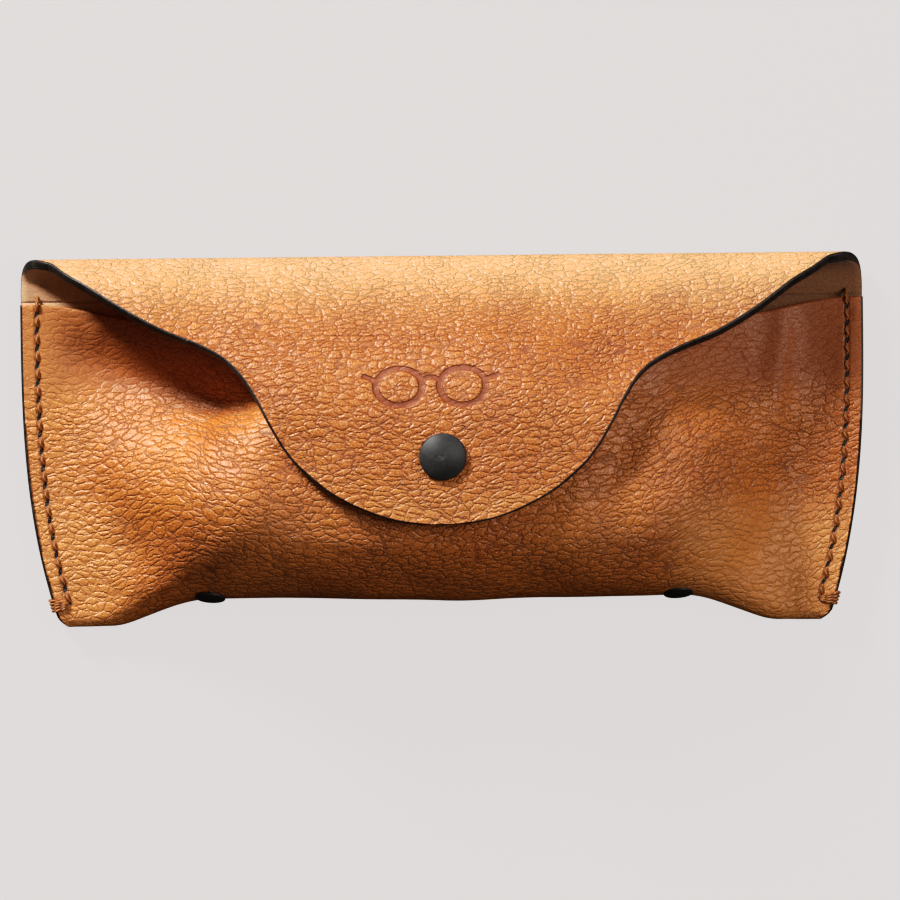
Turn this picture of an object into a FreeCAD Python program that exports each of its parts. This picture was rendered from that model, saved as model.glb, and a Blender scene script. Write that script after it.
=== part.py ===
import FreeCAD, Part
import math
import os

# Soft leather glasses pouch, lying on its flat back.
# +X runs to the right, +Y up to the folded top, +Z out of the front.
# The origin is the middle of the flat back's outer face.  All sizes are in mm.

os.makedirs("parts", exist_ok=True)
Vector = FreeCAD.Vector

# Hide and lining
LEATHER = 1.4
LINING_START = 1.46
SHEET = 1.9
TOP_WIDTH = 178.4
SIDE_TAPER = 8.0
TAPER_FROM_Y = 29.0
TAPER_LENGTH = 68.0
EAR_ROUND = 1.3
EAR_ROUND_START = -36.5
EAR_ROUND_LENGTH = 2.4

# Pouch section: the middle of the pouch and the sewn-flat sides
BELLY_HEIGHT = 25.2
SEAM_HEIGHT = 4.2
MOUTH_HEIGHT = 15.0
MOUTH_SEAM_Y = 29.5
MOUTH_DIP = 3.5
BASE_MID_Y = -33.9
BASE_PINCH = 0.9
BASE_EAR_DROP = 5.9
BASE_RADIUS_Z = 6.5
BASE_RADIUS_Y = 6.9
BELLY_LEVEL_TO_BASE = 23.9
BELLY_LEVEL_TOP_Y = 2.0
BELLY_LEVEL_SEAM_Y = -10.0
BELLY_EDGE = 83.0
BELLY_RUN = 44.0
EAR_START = 57.0
EAR_RUN = 24.0
PINCH_RUN = 54.0
MOUTH_RUN = 50.0
MOUTH_DIP_EDGE = 86.0
MOUTH_DIP_RUN = 24.0
BASE_RUN = 40.0
BACK_JOIN_Y = -22.0

# Grid the pouch surfaces are drawn through
MIDDLE_COLUMNS = 41
MIDDLE_HALF = 80.0
EDGE_COLUMNS = [82.0, 83.8, 85.6, 87.4]
FRONT_STEPS = 6
LEVEL_STEPS = 2
BELLY_STEPS = 10
BASE_STEPS = 8
BACK_STEPS = 2

# Top fold and flap
FOLD_Y = 33.5
FOLD_R = 5.5
FLAP_TOP = 30.4
FLAP_RISE_DEG = 50.0
TIP_LEVEL_Y = -9.5
TIP_DROOP = 0.02
TIP_PROFILE_Y = -20.0
PROFILE_STEPS = 10
FOLD_GAP = 0.25
TONGUE_Y = 11.0
FLAP_OUTLINE = [
    (73.0, 32.2), (65.6, 28.1), (52.5, 21.6), (44.0, 17.0),
    (38.6, 10.0), (34.8, 2.7), (28.5, -6.2), (17.5, -14.2),
]
FLAP_FLARE = (95.0, 43.0)
FOLD_SIDE = [
    (89.2, 1.95), (87.8, 3.6), (86.3, 5.5), (84.5, 7.4), (82.0, 9.1), (78.8, 11.4), (75.4, 13.8),
]
FOLD_SIDE_FOOT = (91.0, 0.0)
FOLD_SIDE_HEAD = (38.3, 40.0)
FLAP_TIP_Y = -17.9
BACK_ROWS = 6

# How far cutting prisms and boxes reach past what they cut
PAST = 2.0

# Snap fastener
SNAP_Y = -3.5
CLEAR = 0.02
RUNNING = 0.05
CAP_R = 4.9
CAP_RIM = 0.45
CAP_ROUND = 0.35
CAP_DOME = 1.1
BEVEL = 0.3
FINE_BEVEL = 0.15
SHANK_R = 1.3
STUD_FLANGE_R = 4.8
STUD_FLANGE = 0.48
POST_FLANGE_R = 4.2
POST_FLANGE = 0.5
POST_TIP_IN = 0.3
POST_TIP_CLEAR = 0.1
NECK_R = 1.45
HEAD_R = 1.95
HEAD_LOW = 1.55
HEAD_WIDE = 1.9
HEAD_TOP = 2.35
SOCKET_R = 4.9
SOCKET_CAVITY_R = 4.3
SOCKET_MOUTH_R = 2.5
SOCKET_LIP_LOW = 0.75
SOCKET_LIP = 0.25
SOCKET_PLATE = 0.48
ROLL_R = 1.9
ROLL = 0.3
LEG_WIRE_R = 0.3
LEG_X = 2.3
LEG_HALF = 3.1
LEG_Z = 1.35

# Base insert and its two rivets
INSERT_HALF = 58.0
INSERT_THICK = 1.2
INSERT_GAP = 0.25
INSERT_COLUMNS = 30
INSERT_ROWS = 12
INSERT_FROM = 2.45
INSERT_TO = 3.55
RIVET_X = 49.0
RIVET_LEAN_DEG = 72.0
RIVET_CAP_R = 3.15
RIVET_CAP_RIM = 0.3
RIVET_CAP_ROUND = 0.3
RIVET_CAP_DOME = 1.0
RIVET_SHANK_R = 1.1
RIVET_WASHER_R = 2.5
RIVET_WASHER = 0.5
RIVET_SEAT = 0.55

# Seam thread
STITCH_INSET = 3.5
STITCH_TOP_Y = 31.2
STITCH_PITCH = 3.64
STITCH_COUNT = 19
THREAD_R = 0.34
THREAD_PROUD = 0.1
THREAD_SUNK = 0.05
THREAD_OVERLAP = 0.3
WRAP_STRANDS = 3
WRAP_STEP = 0.8
WRAP_OUT = 0.3


def ease(t):
    """Smooth 0 to 1 step, flat at both ends."""
    t = min(1.0, max(0.0, t))
    return t * t * (3.0 - 2.0 * t)


def half_width(y):
    """Half width of the pouch at height y: straight at the top, drawn in towards the ears."""
    t = min(1.0, max(0.0, (TAPER_FROM_Y - y) / TAPER_LENGTH))
    corner = max(0.0, (EAR_ROUND_START - y) / EAR_ROUND_LENGTH)
    return TOP_WIDTH / 2.0 - SIDE_TAPER * t ** 3 - EAR_ROUND * corner ** 2


def section_point(d, s):
    """Point (y, z) on the outer face of the section at distance d from the middle.

    s counts stretches: 0 to 1 mouth to level belly, 1 to 2 level belly, 2 to 3 belly to base,
    3 to 4 round the base to the back, 4 to 5 along the flat back.
    """
    belly = ease((BELLY_EDGE - d) / BELLY_RUN)
    base = ease((BELLY_EDGE - d) / BASE_RUN)
    seam_r = SEAM_HEIGHT / 2.0
    base_y = BASE_MID_Y + BASE_PINCH * ease(d / PINCH_RUN) - BASE_EAR_DROP * ease((d - EAR_START) / EAR_RUN)
    top_z = SEAM_HEIGHT + (BELLY_HEIGHT - SEAM_HEIGHT) * belly
    base_z = seam_r + (BASE_RADIUS_Z - seam_r) * base
    back_y = base_y + seam_r + (BASE_RADIUS_Y - seam_r) * base
    level_low = base_y + seam_r + (BELLY_LEVEL_TO_BASE - seam_r) * belly
    level_high = BELLY_LEVEL_SEAM_Y + (BELLY_LEVEL_TOP_Y - BELLY_LEVEL_SEAM_Y) * belly
    mouth_y = MOUTH_SEAM_Y - MOUTH_DIP * ease((MOUTH_DIP_EDGE - d) / MOUTH_DIP_RUN)
    mouth_z = SEAM_HEIGHT + (MOUTH_HEIGHT - SEAM_HEIGHT) * ease((BELLY_EDGE - d) / MOUTH_RUN)
    if s <= 1.0:
        y = mouth_y + (level_high - mouth_y) * s
        return y, top_z - (top_z - mouth_z) * (1.0 - s) ** 2
    if s <= 2.0:
        return level_high + (level_low - level_high) * (s - 1.0), top_z
    if s <= 3.0:
        a = math.radians(90.0 * (s - 2.0))
        return level_low + (base_y - level_low) * math.sin(a), base_z + (top_z - base_z) * math.cos(a)
    if s <= 4.0:
        a = math.radians(90.0 * (s - 3.0))
        return back_y + (base_y - back_y) * math.cos(a), base_z * (1.0 - math.sin(a))
    return back_y + (BACK_JOIN_Y - back_y) * (s - 4.0), 0.0


def skin_point(u, s):
    """Point on the pouch's outer face; u runs from -1 at the left edge to 1 at the right edge."""
    y, z = section_point(abs(u) * TOP_WIDTH / 2.0, s)
    return Vector(u * half_width(y), y, z)


def skin_normal(u, s):
    """Outward unit normal of the pouch's outer face."""
    step = 0.001
    u0 = max(-1.0, u - step)
    u1 = min(1.0, u + step)
    s0 = max(0.0, s - step)
    s1 = min(5.0, s + step)
    across = skin_point(u1, s) - skin_point(u0, s)
    along = skin_point(u, s1) - skin_point(u, s0)
    normal = along.cross(across)
    normal.normalize()
    return normal


def stretch_values(start, end, steps):
    """Evenly spaced values after start up to end."""
    return [start + (end - start) * (i + 1) / steps for i in range(steps)]


def knot_row(count, degree):
    """Even knots and their repeats for a row of control points that ends on its first and last."""
    spans = count - degree
    return [float(i) for i in range(spans + 1)], [degree + 1] + [1] * (spans - 1) + [degree + 1]


def smooth_face(grid, degree):
    """Face that follows a grid of points, cubic along the rows."""
    knots_a, mults_a = knot_row(len(grid), degree)
    knots_b, mults_b = knot_row(len(grid[0]), 3)
    surface = Part.BSplineSurface()
    surface.buildFromPolesMultsKnots(
        grid, mults_a, mults_b, knots_a, knots_b, False, False, degree, 3)
    return surface.toShape()


def sheet_solid(u_values, s_values, top, bottom):
    """Closed solid between two offsets of the pouch's outer face, measured inwards."""
    outer = []
    inner = []
    for u in u_values:
        outer.append([skin_point(u, s) - skin_normal(u, s) * top for s in s_values])
        inner.append([skin_point(u, s) - skin_normal(u, s) * bottom for s in s_values])
    outer_across = [list(row) for row in zip(*outer)]
    inner_across = [list(row) for row in zip(*inner)]
    faces = [
        smooth_face(outer, 3), smooth_face(inner, 3),
        smooth_face([outer[0], inner[0]], 1), smooth_face([outer[-1], inner[-1]], 1),
        smooth_face([outer_across[0], inner_across[0]], 1),
        smooth_face([outer_across[-1], inner_across[-1]], 1),
    ]
    shell = Part.Compound(faces)
    shell.sewShape()
    solid = Part.Solid(shell.Shells[0])
    if solid.Volume < 0:
        solid.reverse()
    return solid


def pouch_values():
    """Grid values across and along the pouch."""
    edge = TOP_WIDTH / 2.0
    middle = [MIDDLE_HALF * (2.0 * i / (MIDDLE_COLUMNS - 1) - 1.0) for i in range(MIDDLE_COLUMNS)]
    outer = EDGE_COLUMNS + [edge]
    across = [-x for x in reversed(outer)] + middle + outer
    u_values = [x / edge for x in across]
    s_values = [0.0]
    steps = [FRONT_STEPS, LEVEL_STEPS, BELLY_STEPS, BASE_STEPS, BACK_STEPS]
    for stretch, count in enumerate(steps):
        s_values += stretch_values(stretch, stretch + 1.0, count)
    return u_values, s_values


def spline_edge(points):
    """Smooth edge through points."""
    curve = Part.BSplineCurve()
    curve.interpolate(points)
    return curve.toShape()


def mirrored_prism(right, depth):
    """Prism of an outline given by the corners and edges of its right half, mirrored left."""
    left = [edge.mirror(Vector(0, 0, 0), Vector(1, 0, 0)) for edge in right]
    foot = right[0].Vertexes[0].Point
    head = right[-1].Vertexes[-1].Point
    edges = right + left
    for point in (foot, head):
        if point.x > 0:
            edges.append(Part.makeLine(point, Vector(-point.x, point.y, point.z)))
    wire = Part.Wire(Part.__sortEdges__(edges))
    return Part.Face(wire).extrude(depth)


def back_outline():
    """Prism over the back panel: straight sides, drawn in below."""
    rows = [BACK_JOIN_Y + (TAPER_FROM_Y - BACK_JOIN_Y) * i / BACK_ROWS for i in range(BACK_ROWS + 1)]
    side = [Vector(half_width(y), y, -PAST) for y in rows]
    top = Vector(side[-1].x, FOLD_Y + FOLD_R + PAST, -PAST)
    return mirrored_prism(
        [spline_edge(side), Part.makeLine(side[-1], top)], Vector(0, 0, 2 * FOLD_R + 2 * PAST))


def fold_side():
    """Prism seen along Y: how the side edge runs in as the sheet turns over the top fold."""
    y = BACK_JOIN_Y - PAST
    curve = [Vector(x, y, z) for x, z in FOLD_SIDE]
    foot = Vector(FOLD_SIDE_FOOT[0], y, FOLD_SIDE_FOOT[1])
    below = Vector(foot.x, y, foot.z - PAST)
    head = Vector(FOLD_SIDE_HEAD[0], y, FOLD_SIDE_HEAD[1])
    right = [
        Part.makeLine(below, foot), Part.makeLine(foot, curve[0]),
        spline_edge(curve), Part.makeLine(curve[-1], head),
    ]
    return mirrored_prism(right, Vector(0, FOLD_Y + FOLD_R + PAST - y, 0))


def back_panel(top, bottom):
    """Flat back and the lower quarter of the top fold, between two depths in the sheet."""
    width = TOP_WIDTH / 2.0 + PAST
    middle = Vector(0, FOLD_Y, FOLD_R)

    def on_fold(depth, degrees):
        a = math.radians(degrees)
        r = FOLD_R - depth
        return Vector(-width, middle.y + r * math.sin(a), middle.z - r * math.cos(a))

    edges = [
        Part.makeLine(Vector(-width, BACK_JOIN_Y, top), on_fold(top, 0)),
        Part.Arc(on_fold(top, 0), on_fold(top, 45), on_fold(top, 90)).toShape(),
        Part.makeLine(on_fold(top, 90), on_fold(bottom, 90)),
        Part.Arc(on_fold(bottom, 90), on_fold(bottom, 45), on_fold(bottom, 0)).toShape(),
        Part.makeLine(on_fold(bottom, 0), Vector(-width, BACK_JOIN_Y, bottom)),
        Part.makeLine(Vector(-width, BACK_JOIN_Y, bottom), Vector(-width, BACK_JOIN_Y, top)),
    ]
    profile = Part.Face(Part.Wire(edges))
    solid = profile.extrude(Vector(2 * width, 0, 0))
    return solid.common(back_outline()).common(fold_side()).Solids[0]


def rivet_frame(side):
    """Seat point and outward direction of a base rivet."""
    target = math.cos(math.radians(RIVET_LEAN_DEG))
    y_guess = BASE_MID_Y
    u = side * RIVET_X / half_width(y_guess)
    low, high = 2.0, 3.0
    for _ in range(40):
        s = (low + high) / 2.0
        if skin_normal(u, s).z > target:
            low = s
        else:
            high = s
    return skin_point(u, s), skin_normal(u, s)


def drill(point, direction, radius, depth):
    """Round cutter that starts just outside a face and runs inwards."""
    start = point + direction * PAST
    return Part.makeCylinder(radius, depth + PAST, start, direction * -1.0)


def pouch_cutters():
    """Holes for the stud's post and the two base rivets."""
    cutters = [drill(Vector(0, SNAP_Y, BELLY_HEIGHT), Vector(0, 0, 1), SHANK_R + RUNNING, SHEET + PAST)]
    for side in (-1, 1):
        seat, out = rivet_frame(side)
        cutters.append(drill(seat, out, RIVET_SHANK_R + RUNNING, SHEET + INSERT_THICK + PAST))
    return cutters


def pouch_sheet(top, bottom):
    """Front panel, base and back panel in one piece, with its holes."""
    u_values, s_values = pouch_values()
    body = sheet_solid(u_values, s_values, top, bottom)
    whole = body.fuse(back_panel(top, bottom))
    return whole.cut(pouch_cutters())


def flap_profile_points(depth):
    """Fold end angle, curve points and level line of the flap at a depth in the sheet."""
    rise = math.radians(FLAP_RISE_DEG)
    end_y = FOLD_Y + FOLD_R * math.sin(rise)
    end_z = FOLD_R + FOLD_R * math.cos(rise)
    level_y = end_y - 2.0 * (FLAP_TOP - end_z) / math.tan(rise)
    bend = math.tan(rise) / (2.0 * (end_y - level_y))
    points = []
    for i in range(PROFILE_STEPS + 1):
        y = end_y + (level_y - end_y) * i / PROFILE_STEPS
        slope = -2.0 * bend * (y - level_y)
        long = math.sqrt(1.0 + slope * slope)
        z = FLAP_TOP - bend * (y - level_y) ** 2
        points.append((y + slope * depth / long, z - depth / long))
    tip = []
    for i in range(PROFILE_STEPS + 1):
        y = TIP_LEVEL_Y + (TIP_PROFILE_Y - TIP_LEVEL_Y) * i / PROFILE_STEPS
        slope = -2.0 * TIP_DROOP * (y - TIP_LEVEL_Y)
        long = math.sqrt(1.0 + slope * slope)
        z = FLAP_TOP - TIP_DROOP * (y - TIP_LEVEL_Y) ** 2
        tip.append((y + slope * depth / long, z - depth / long))
    return points, tip


def flap_edges(depth, x):
    """Edges of the flap's profile at one depth, from just past the fold's crest to past the tip."""
    rise, tip = flap_profile_points(depth)
    r = FOLD_R - depth
    from_top = math.acos(FOLD_GAP / r)
    crest = Vector(x, FOLD_Y + r * math.sin(from_top), FOLD_R + FOLD_GAP)
    a = (from_top + math.radians(FLAP_RISE_DEG)) / 2.0
    halfway = Vector(x, FOLD_Y + r * math.sin(a), FOLD_R + r * math.cos(a))
    start = Vector(x, rise[0][0], rise[0][1])
    climb = spline_edge([Vector(x, y, z) for y, z in rise])
    droop = spline_edge([Vector(x, y, z) for y, z in tip])
    level = Part.makeLine(Vector(x, rise[-1][0], rise[-1][1]), Vector(x, tip[0][0], tip[0][1]))
    return [Part.Arc(crest, halfway, start).toShape(), climb, level, droop]


def flap_outline():
    """Prism over the flap's outline: wide at the fold, S-curved sides, round tongue."""
    flare = Vector(FLAP_FLARE[0], FLAP_FLARE[1], 0)
    right = [Vector(x, y, 0) for x, y in FLAP_OUTLINE]
    left = [Vector(-p.x, p.y, 0) for p in reversed(right)]
    mirror_flare = Vector(-flare.x, flare.y, 0)
    edges = [
        spline_edge(right + [Vector(0, FLAP_TIP_Y, 0)] + left), Part.makeLine(left[-1], mirror_flare),
        Part.makeLine(mirror_flare, flare), Part.makeLine(flare, right[0]),
    ]
    wire = Part.Wire(Part.__sortEdges__(edges))
    return Part.Face(wire).extrude(Vector(0, 0, FLAP_TOP + PAST))


def flap_sheet(top, bottom):
    """Whole flap and tongue between two depths in the sheet."""
    x = -TOP_WIDTH / 2.0
    outer = flap_edges(top, x)
    inner = flap_edges(bottom, x)
    close_crest = Part.makeLine(outer[0].Vertexes[0].Point, inner[0].Vertexes[0].Point)
    close_tip = Part.makeLine(outer[-1].Vertexes[-1].Point, inner[-1].Vertexes[-1].Point)
    wire = Part.Wire(Part.__sortEdges__(outer + inner + [close_crest, close_tip]))
    solid = Part.Face(wire).extrude(Vector(TOP_WIDTH, 0, 0))
    return solid.common(flap_outline()).common(fold_side()).Solids[0]


def beyond_tongue():
    """Box that holds everything on the fold's side of the tongue line."""
    corner = Vector(-TOP_WIDTH / 2 - PAST, TONGUE_Y, -PAST)
    depth = FOLD_Y + FOLD_R + PAST - TONGUE_Y
    return Part.makeBox(TOP_WIDTH + 2 * PAST, depth, FLAP_TOP + 2 * PAST, corner)


def snap_hole():
    """Cutter for the cap's shank through the tongue."""
    return drill(Vector(0, SNAP_Y, FLAP_TOP), Vector(0, 0, 1), SHANK_R + RUNNING, SHEET + PAST)


def turned(points, place, direction, dome=None):
    """Solid turned about its own axis from (radius, height) points, then put in place.

    A dome's edges close the outline from its last point back to the axis.
    """
    outline = [Vector(r, 0, h) for r, h in points]
    if dome:
        edges = Part.makePolygon(outline).Edges + dome
        edges.append(Part.makeLine(dome[-1].Vertexes[-1].Point, outline[0]))
        wire = Part.Wire(Part.__sortEdges__(edges))
    else:
        wire = Part.makePolygon(outline + [outline[0]])
    solid = Part.Face(wire).revolve(Vector(0, 0, 0), Vector(0, 0, 1), 360)
    solid.Placement = FreeCAD.Placement(place, FreeCAD.Rotation(Vector(0, 0, 1), direction))
    return solid


def dome_edges(radius, rim, round_r, height):
    """Arcs from the top of a cap's upright rim over a small round and a shallow dome to its middle."""
    reach = radius - round_r
    drop = height - rim
    sphere_r = (reach ** 2 + drop ** 2 - round_r ** 2) / (2.0 * (drop - round_r))
    lean = math.asin(reach / (sphere_r - round_r))

    def on_round(a):
        return Vector(reach + round_r * math.sin(a), 0, rim + round_r * math.cos(a))

    def on_dome(a):
        return Vector(sphere_r * math.sin(a), 0, height - sphere_r + sphere_r * math.cos(a))

    edge = math.radians(90)
    small = Part.Arc(on_round(edge), on_round((edge + lean) / 2), on_round(lean)).toShape()
    large = Part.Arc(on_dome(lean), on_dome(lean / 2), on_dome(0)).toShape()
    return [small, large]


def cap_rim(radius, rim):
    """(radius, height) points of a cap's lower edge, with a fine bevel, and its upright rim."""
    return [(radius - FINE_BEVEL, 0.0), (radius, FINE_BEVEL), (radius, rim)]


def snap_cap():
    """Domed cap on the outside of the tongue, its shank rolled over inside the socket."""
    shank_end = -SHEET - 2 * CLEAR - SOCKET_PLATE - CLEAR
    shank = [(0.0, shank_end - ROLL), (ROLL_R, shank_end - ROLL), (ROLL_R, shank_end)]
    shank += [(SHANK_R, shank_end), (SHANK_R, 0.0)]
    place = Vector(0, SNAP_Y, FLAP_TOP + CLEAR)
    dome = dome_edges(CAP_R, CAP_RIM, CAP_ROUND, CAP_DOME)
    return turned(shank + cap_rim(CAP_R, CAP_RIM), place, Vector(0, 0, 1), dome)


def snap_socket():
    """Cup under the tongue: top plate, wall and a lip round the stud's way in."""
    high = FLAP_TOP - SHEET - CLEAR
    low = BELLY_HEIGHT + SOCKET_LIP_LOW
    points = [
        (SHANK_R + RUNNING, high), (SOCKET_R - BEVEL, high), (SOCKET_R, high - BEVEL),
        (SOCKET_R, low + BEVEL), (SOCKET_R - BEVEL, low), (SOCKET_MOUTH_R, low),
        (SOCKET_MOUTH_R, low + SOCKET_LIP), (SOCKET_CAVITY_R, low + SOCKET_LIP),
        (SOCKET_CAVITY_R, high - SOCKET_PLATE), (SHANK_R + RUNNING, high - SOCKET_PLATE),
    ]
    return turned(points, Vector(0, SNAP_Y, 0), Vector(0, 0, 1))


def snap_leg(side):
    """One wire of the socket's spring, beside the stud's neck."""
    start = Vector(side * LEG_X, SNAP_Y - LEG_HALF, BELLY_HEIGHT + LEG_Z)
    return Part.makeCylinder(LEG_WIRE_R, 2 * LEG_HALF, start, Vector(0, 1, 0))


def snap_stud():
    """Stud on the belly: round flange, neck and a wider head, hollow for its post."""
    base = BELLY_HEIGHT + CLEAR
    bore = SHANK_R + RUNNING - POST_TIP_IN
    points = [
        (bore, 0.0), (STUD_FLANGE_R, 0.0), (STUD_FLANGE_R, STUD_FLANGE - FINE_BEVEL),
        (STUD_FLANGE_R - BEVEL, STUD_FLANGE), (NECK_R, STUD_FLANGE), (NECK_R, HEAD_LOW),
        (HEAD_R, HEAD_WIDE), (HEAD_R, HEAD_TOP - BEVEL), (HEAD_R - BEVEL, HEAD_TOP),
        (0.0, HEAD_TOP), (0.0, HEAD_LOW), (bore, HEAD_LOW),
    ]
    return turned(points, Vector(0, SNAP_Y, base), Vector(0, 0, 1))


def snap_stud_post():
    """Post that holds the stud: flange inside the pouch and a shank up into the stud."""
    base = BELLY_HEIGHT - SHEET - CLEAR
    tip_r = SHANK_R - POST_TIP_IN
    reach = SHEET + CLEAR
    tip = reach + HEAD_LOW - POST_TIP_CLEAR
    points = [
        (0.0, -POST_FLANGE), (POST_FLANGE_R - BEVEL, -POST_FLANGE), (POST_FLANGE_R, BEVEL - POST_FLANGE),
        (POST_FLANGE_R, 0.0), (SHANK_R, 0.0), (SHANK_R, reach),
        (tip_r, reach), (tip_r, tip), (0.0, tip),
    ]
    return turned(points, Vector(0, SNAP_Y, base), Vector(0, 0, 1))


def base_insert():
    """Stiff strip inside the round base, held by the two rivets."""
    edge = INSERT_HALF / half_width(BASE_MID_Y)
    u_values = [-edge + 2.0 * edge * i / INSERT_COLUMNS for i in range(INSERT_COLUMNS + 1)]
    s_values = [INSERT_FROM] + stretch_values(INSERT_FROM, INSERT_TO, INSERT_ROWS)
    depth = SHEET + INSERT_GAP
    return sheet_solid(u_values, s_values, depth, depth + INSERT_THICK).cut(pouch_cutters())


def rivet_cap(side):
    """Domed cap outside the base with a shank through hide, lining and insert."""
    seat, out = rivet_frame(side)
    reach = SHEET + INSERT_GAP + INSERT_THICK + RIVET_SEAT + RIVET_WASHER
    shank = [(0.0, -reach), (RIVET_SHANK_R, -reach), (RIVET_SHANK_R, 0.0)]
    dome = dome_edges(RIVET_CAP_R, RIVET_CAP_RIM, RIVET_CAP_ROUND, RIVET_CAP_DOME)
    return turned(shank + cap_rim(RIVET_CAP_R, RIVET_CAP_RIM), seat + out * CLEAR, out, dome)


def rivet_back(side):
    """Washer that closes a base rivet on the inside."""
    seat, out = rivet_frame(side)
    top = -(SHEET + INSERT_GAP + INSERT_THICK + RIVET_SEAT)
    bore = RIVET_SHANK_R + RUNNING
    points = [
        (bore, top - RIVET_WASHER), (RIVET_WASHER_R - FINE_BEVEL, top - RIVET_WASHER),
        (RIVET_WASHER_R, top - RIVET_WASHER + FINE_BEVEL), (RIVET_WASHER_R, top), (bore, top),
    ]
    return turned(points, seat, out)


def run_between(start, end, low, high):
    """Flat run of thread between two plan points, from height low to high."""
    along = end - start
    along.normalize()
    across = Vector(-along.y, along.x, 0) * THREAD_R
    ends = along * THREAD_R
    corners = [start - ends + across, start - ends - across, end + ends - across, end + ends + across]
    floor = [Vector(p.x, p.y, low) for p in corners]
    return Part.Face(Part.makePolygon(floor + [floor[0]])).extrude(Vector(0, 0, high - low))


def seam_thread(side):
    """Saddle-stitched thread of one side seam, with the strands wrapped round the edge."""
    holes = []
    for i in range(STITCH_COUNT):
        y = STITCH_TOP_Y - STITCH_PITCH * i
        holes.append(Vector(side * (half_width(y) - STITCH_INSET), y, 0))
    low = THREAD_SUNK
    back_top = low + 2 * THREAD_R
    front_top = SEAM_HEIGHT + THREAD_PROUD
    front_low = front_top - 2 * THREAD_R
    pieces = [Part.makeCylinder(THREAD_R, SHEET, holes[0] + Vector(0, 0, low), Vector(0, 0, 1))]
    over = Vector(holes[0].x, MOUTH_SEAM_Y + THREAD_R + THREAD_PROUD, 0)
    floor = SHEET - THREAD_OVERLAP
    pieces.append(run_between(holes[0], over, floor, floor + 2 * THREAD_R))
    pieces.append(Part.makeBox(
        2 * THREAD_R, 2 * THREAD_R, front_top - floor,
        Vector(over.x - THREAD_R, over.y - THREAD_R, floor)))
    pieces.append(run_between(over, holes[1], front_low, front_top))
    leg = front_top - low - 2 * THREAD_SUNK
    for i in range(1, STITCH_COUNT):
        foot = holes[i] + Vector(0, 0, low + THREAD_SUNK)
        pieces.append(Part.makeCylinder(THREAD_R - THREAD_SUNK, leg, foot, Vector(0, 0, 1)))
        pieces.append(run_between(holes[i - 1], holes[i], low, back_top))
        if i > 1:
            pieces.append(run_between(holes[i - 1], holes[i], front_low, front_top))
    last = holes[-1]
    for strand in range(WRAP_STRANDS):
        y = last.y - WRAP_STEP * (strand - 1)
        rim = side * (half_width(y) + WRAP_OUT)
        end = Vector(rim, y, 0)
        pieces.append(run_between(last, end, front_low, front_top))
        pieces.append(run_between(last, end, low, back_top))
        pieces.append(Part.makeBox(
            2 * THREAD_R, 2 * THREAD_R, front_top - low, Vector(rim - THREAD_R, y - THREAD_R, low)))
    return pieces[0].multiFuse(pieces[1:]).removeSplitter()


def save(name, shape):
    """Write one named piece."""
    if shape.ShapeType != "Solid" and len(shape.Solids) == 1:
        shape = shape.Solids[0]
    print(name, len(shape.Solids), "valid", shape.isValid(), "volume", round(shape.Volume, 1))
    shape.exportStep("parts/" + name + ".step")


def main():
    """Build every piece."""
    save("pouch_leather", pouch_sheet(0.0, LEATHER))
    save("pouch_lining", pouch_sheet(LINING_START, SHEET))
    leather = flap_sheet(0.0, LEATHER)
    lining = flap_sheet(LINING_START, SHEET)
    save("flap_leather", leather.common(beyond_tongue()))
    save("flap_lining", lining.common(beyond_tongue()))
    save("tongue_leather", leather.cut(beyond_tongue()).cut(snap_hole()))
    save("tongue_lining", lining.cut(beyond_tongue()).cut(snap_hole()))
    save("snap_cap", snap_cap())
    save("snap_socket", snap_socket())
    save("snap_spring_left_leg", snap_leg(-1))
    save("snap_spring_right_leg", snap_leg(1))
    save("snap_stud", snap_stud())
    save("snap_stud_post", snap_stud_post())
    save("base_insert", base_insert())
    for name, side in (("left", -1), ("right", 1)):
        save(name + "_base_rivet_cap", rivet_cap(side))
        save(name + "_base_rivet_back", rivet_back(side))
        save(name + "_seam_thread", seam_thread(side))


main()
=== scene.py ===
import bmesh
import bpy
import math
import numpy as np
from collections import namedtuple
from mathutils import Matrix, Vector


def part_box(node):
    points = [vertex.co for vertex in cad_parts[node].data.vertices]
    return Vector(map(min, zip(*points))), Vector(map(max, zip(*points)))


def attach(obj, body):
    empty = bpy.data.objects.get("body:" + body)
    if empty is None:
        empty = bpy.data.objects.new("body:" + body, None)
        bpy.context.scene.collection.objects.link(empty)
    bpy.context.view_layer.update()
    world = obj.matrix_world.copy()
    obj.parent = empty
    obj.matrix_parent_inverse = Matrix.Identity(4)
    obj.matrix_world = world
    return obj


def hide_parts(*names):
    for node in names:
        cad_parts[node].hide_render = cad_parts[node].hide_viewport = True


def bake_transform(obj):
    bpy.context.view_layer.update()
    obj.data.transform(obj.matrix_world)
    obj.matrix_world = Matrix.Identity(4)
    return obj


# A soft leather glasses pouch, lying on its flat back with the flap snapped shut.
# +X runs to the right, +Y up to the folded top, +Z out of the front.
# Lengths are in mm, and turn into metres where a mesh is made.

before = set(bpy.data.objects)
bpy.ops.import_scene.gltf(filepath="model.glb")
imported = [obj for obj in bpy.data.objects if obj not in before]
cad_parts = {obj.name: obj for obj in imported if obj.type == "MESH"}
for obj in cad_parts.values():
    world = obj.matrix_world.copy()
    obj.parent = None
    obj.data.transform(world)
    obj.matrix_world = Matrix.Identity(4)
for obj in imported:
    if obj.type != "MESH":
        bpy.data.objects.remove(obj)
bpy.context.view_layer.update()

MM = 0.001


def box_mm(node):
    """Lowest and highest corner of a CAD node, in mm."""
    low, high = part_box(node)
    return np.array(low) / MM, np.array(high) / MM


pouch_low, pouch_high = box_mm("pouch_leather")
tongue_low, tongue_high = box_mm("tongue_leather")
cap_low, cap_high = box_mm("snap_cap")

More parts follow.
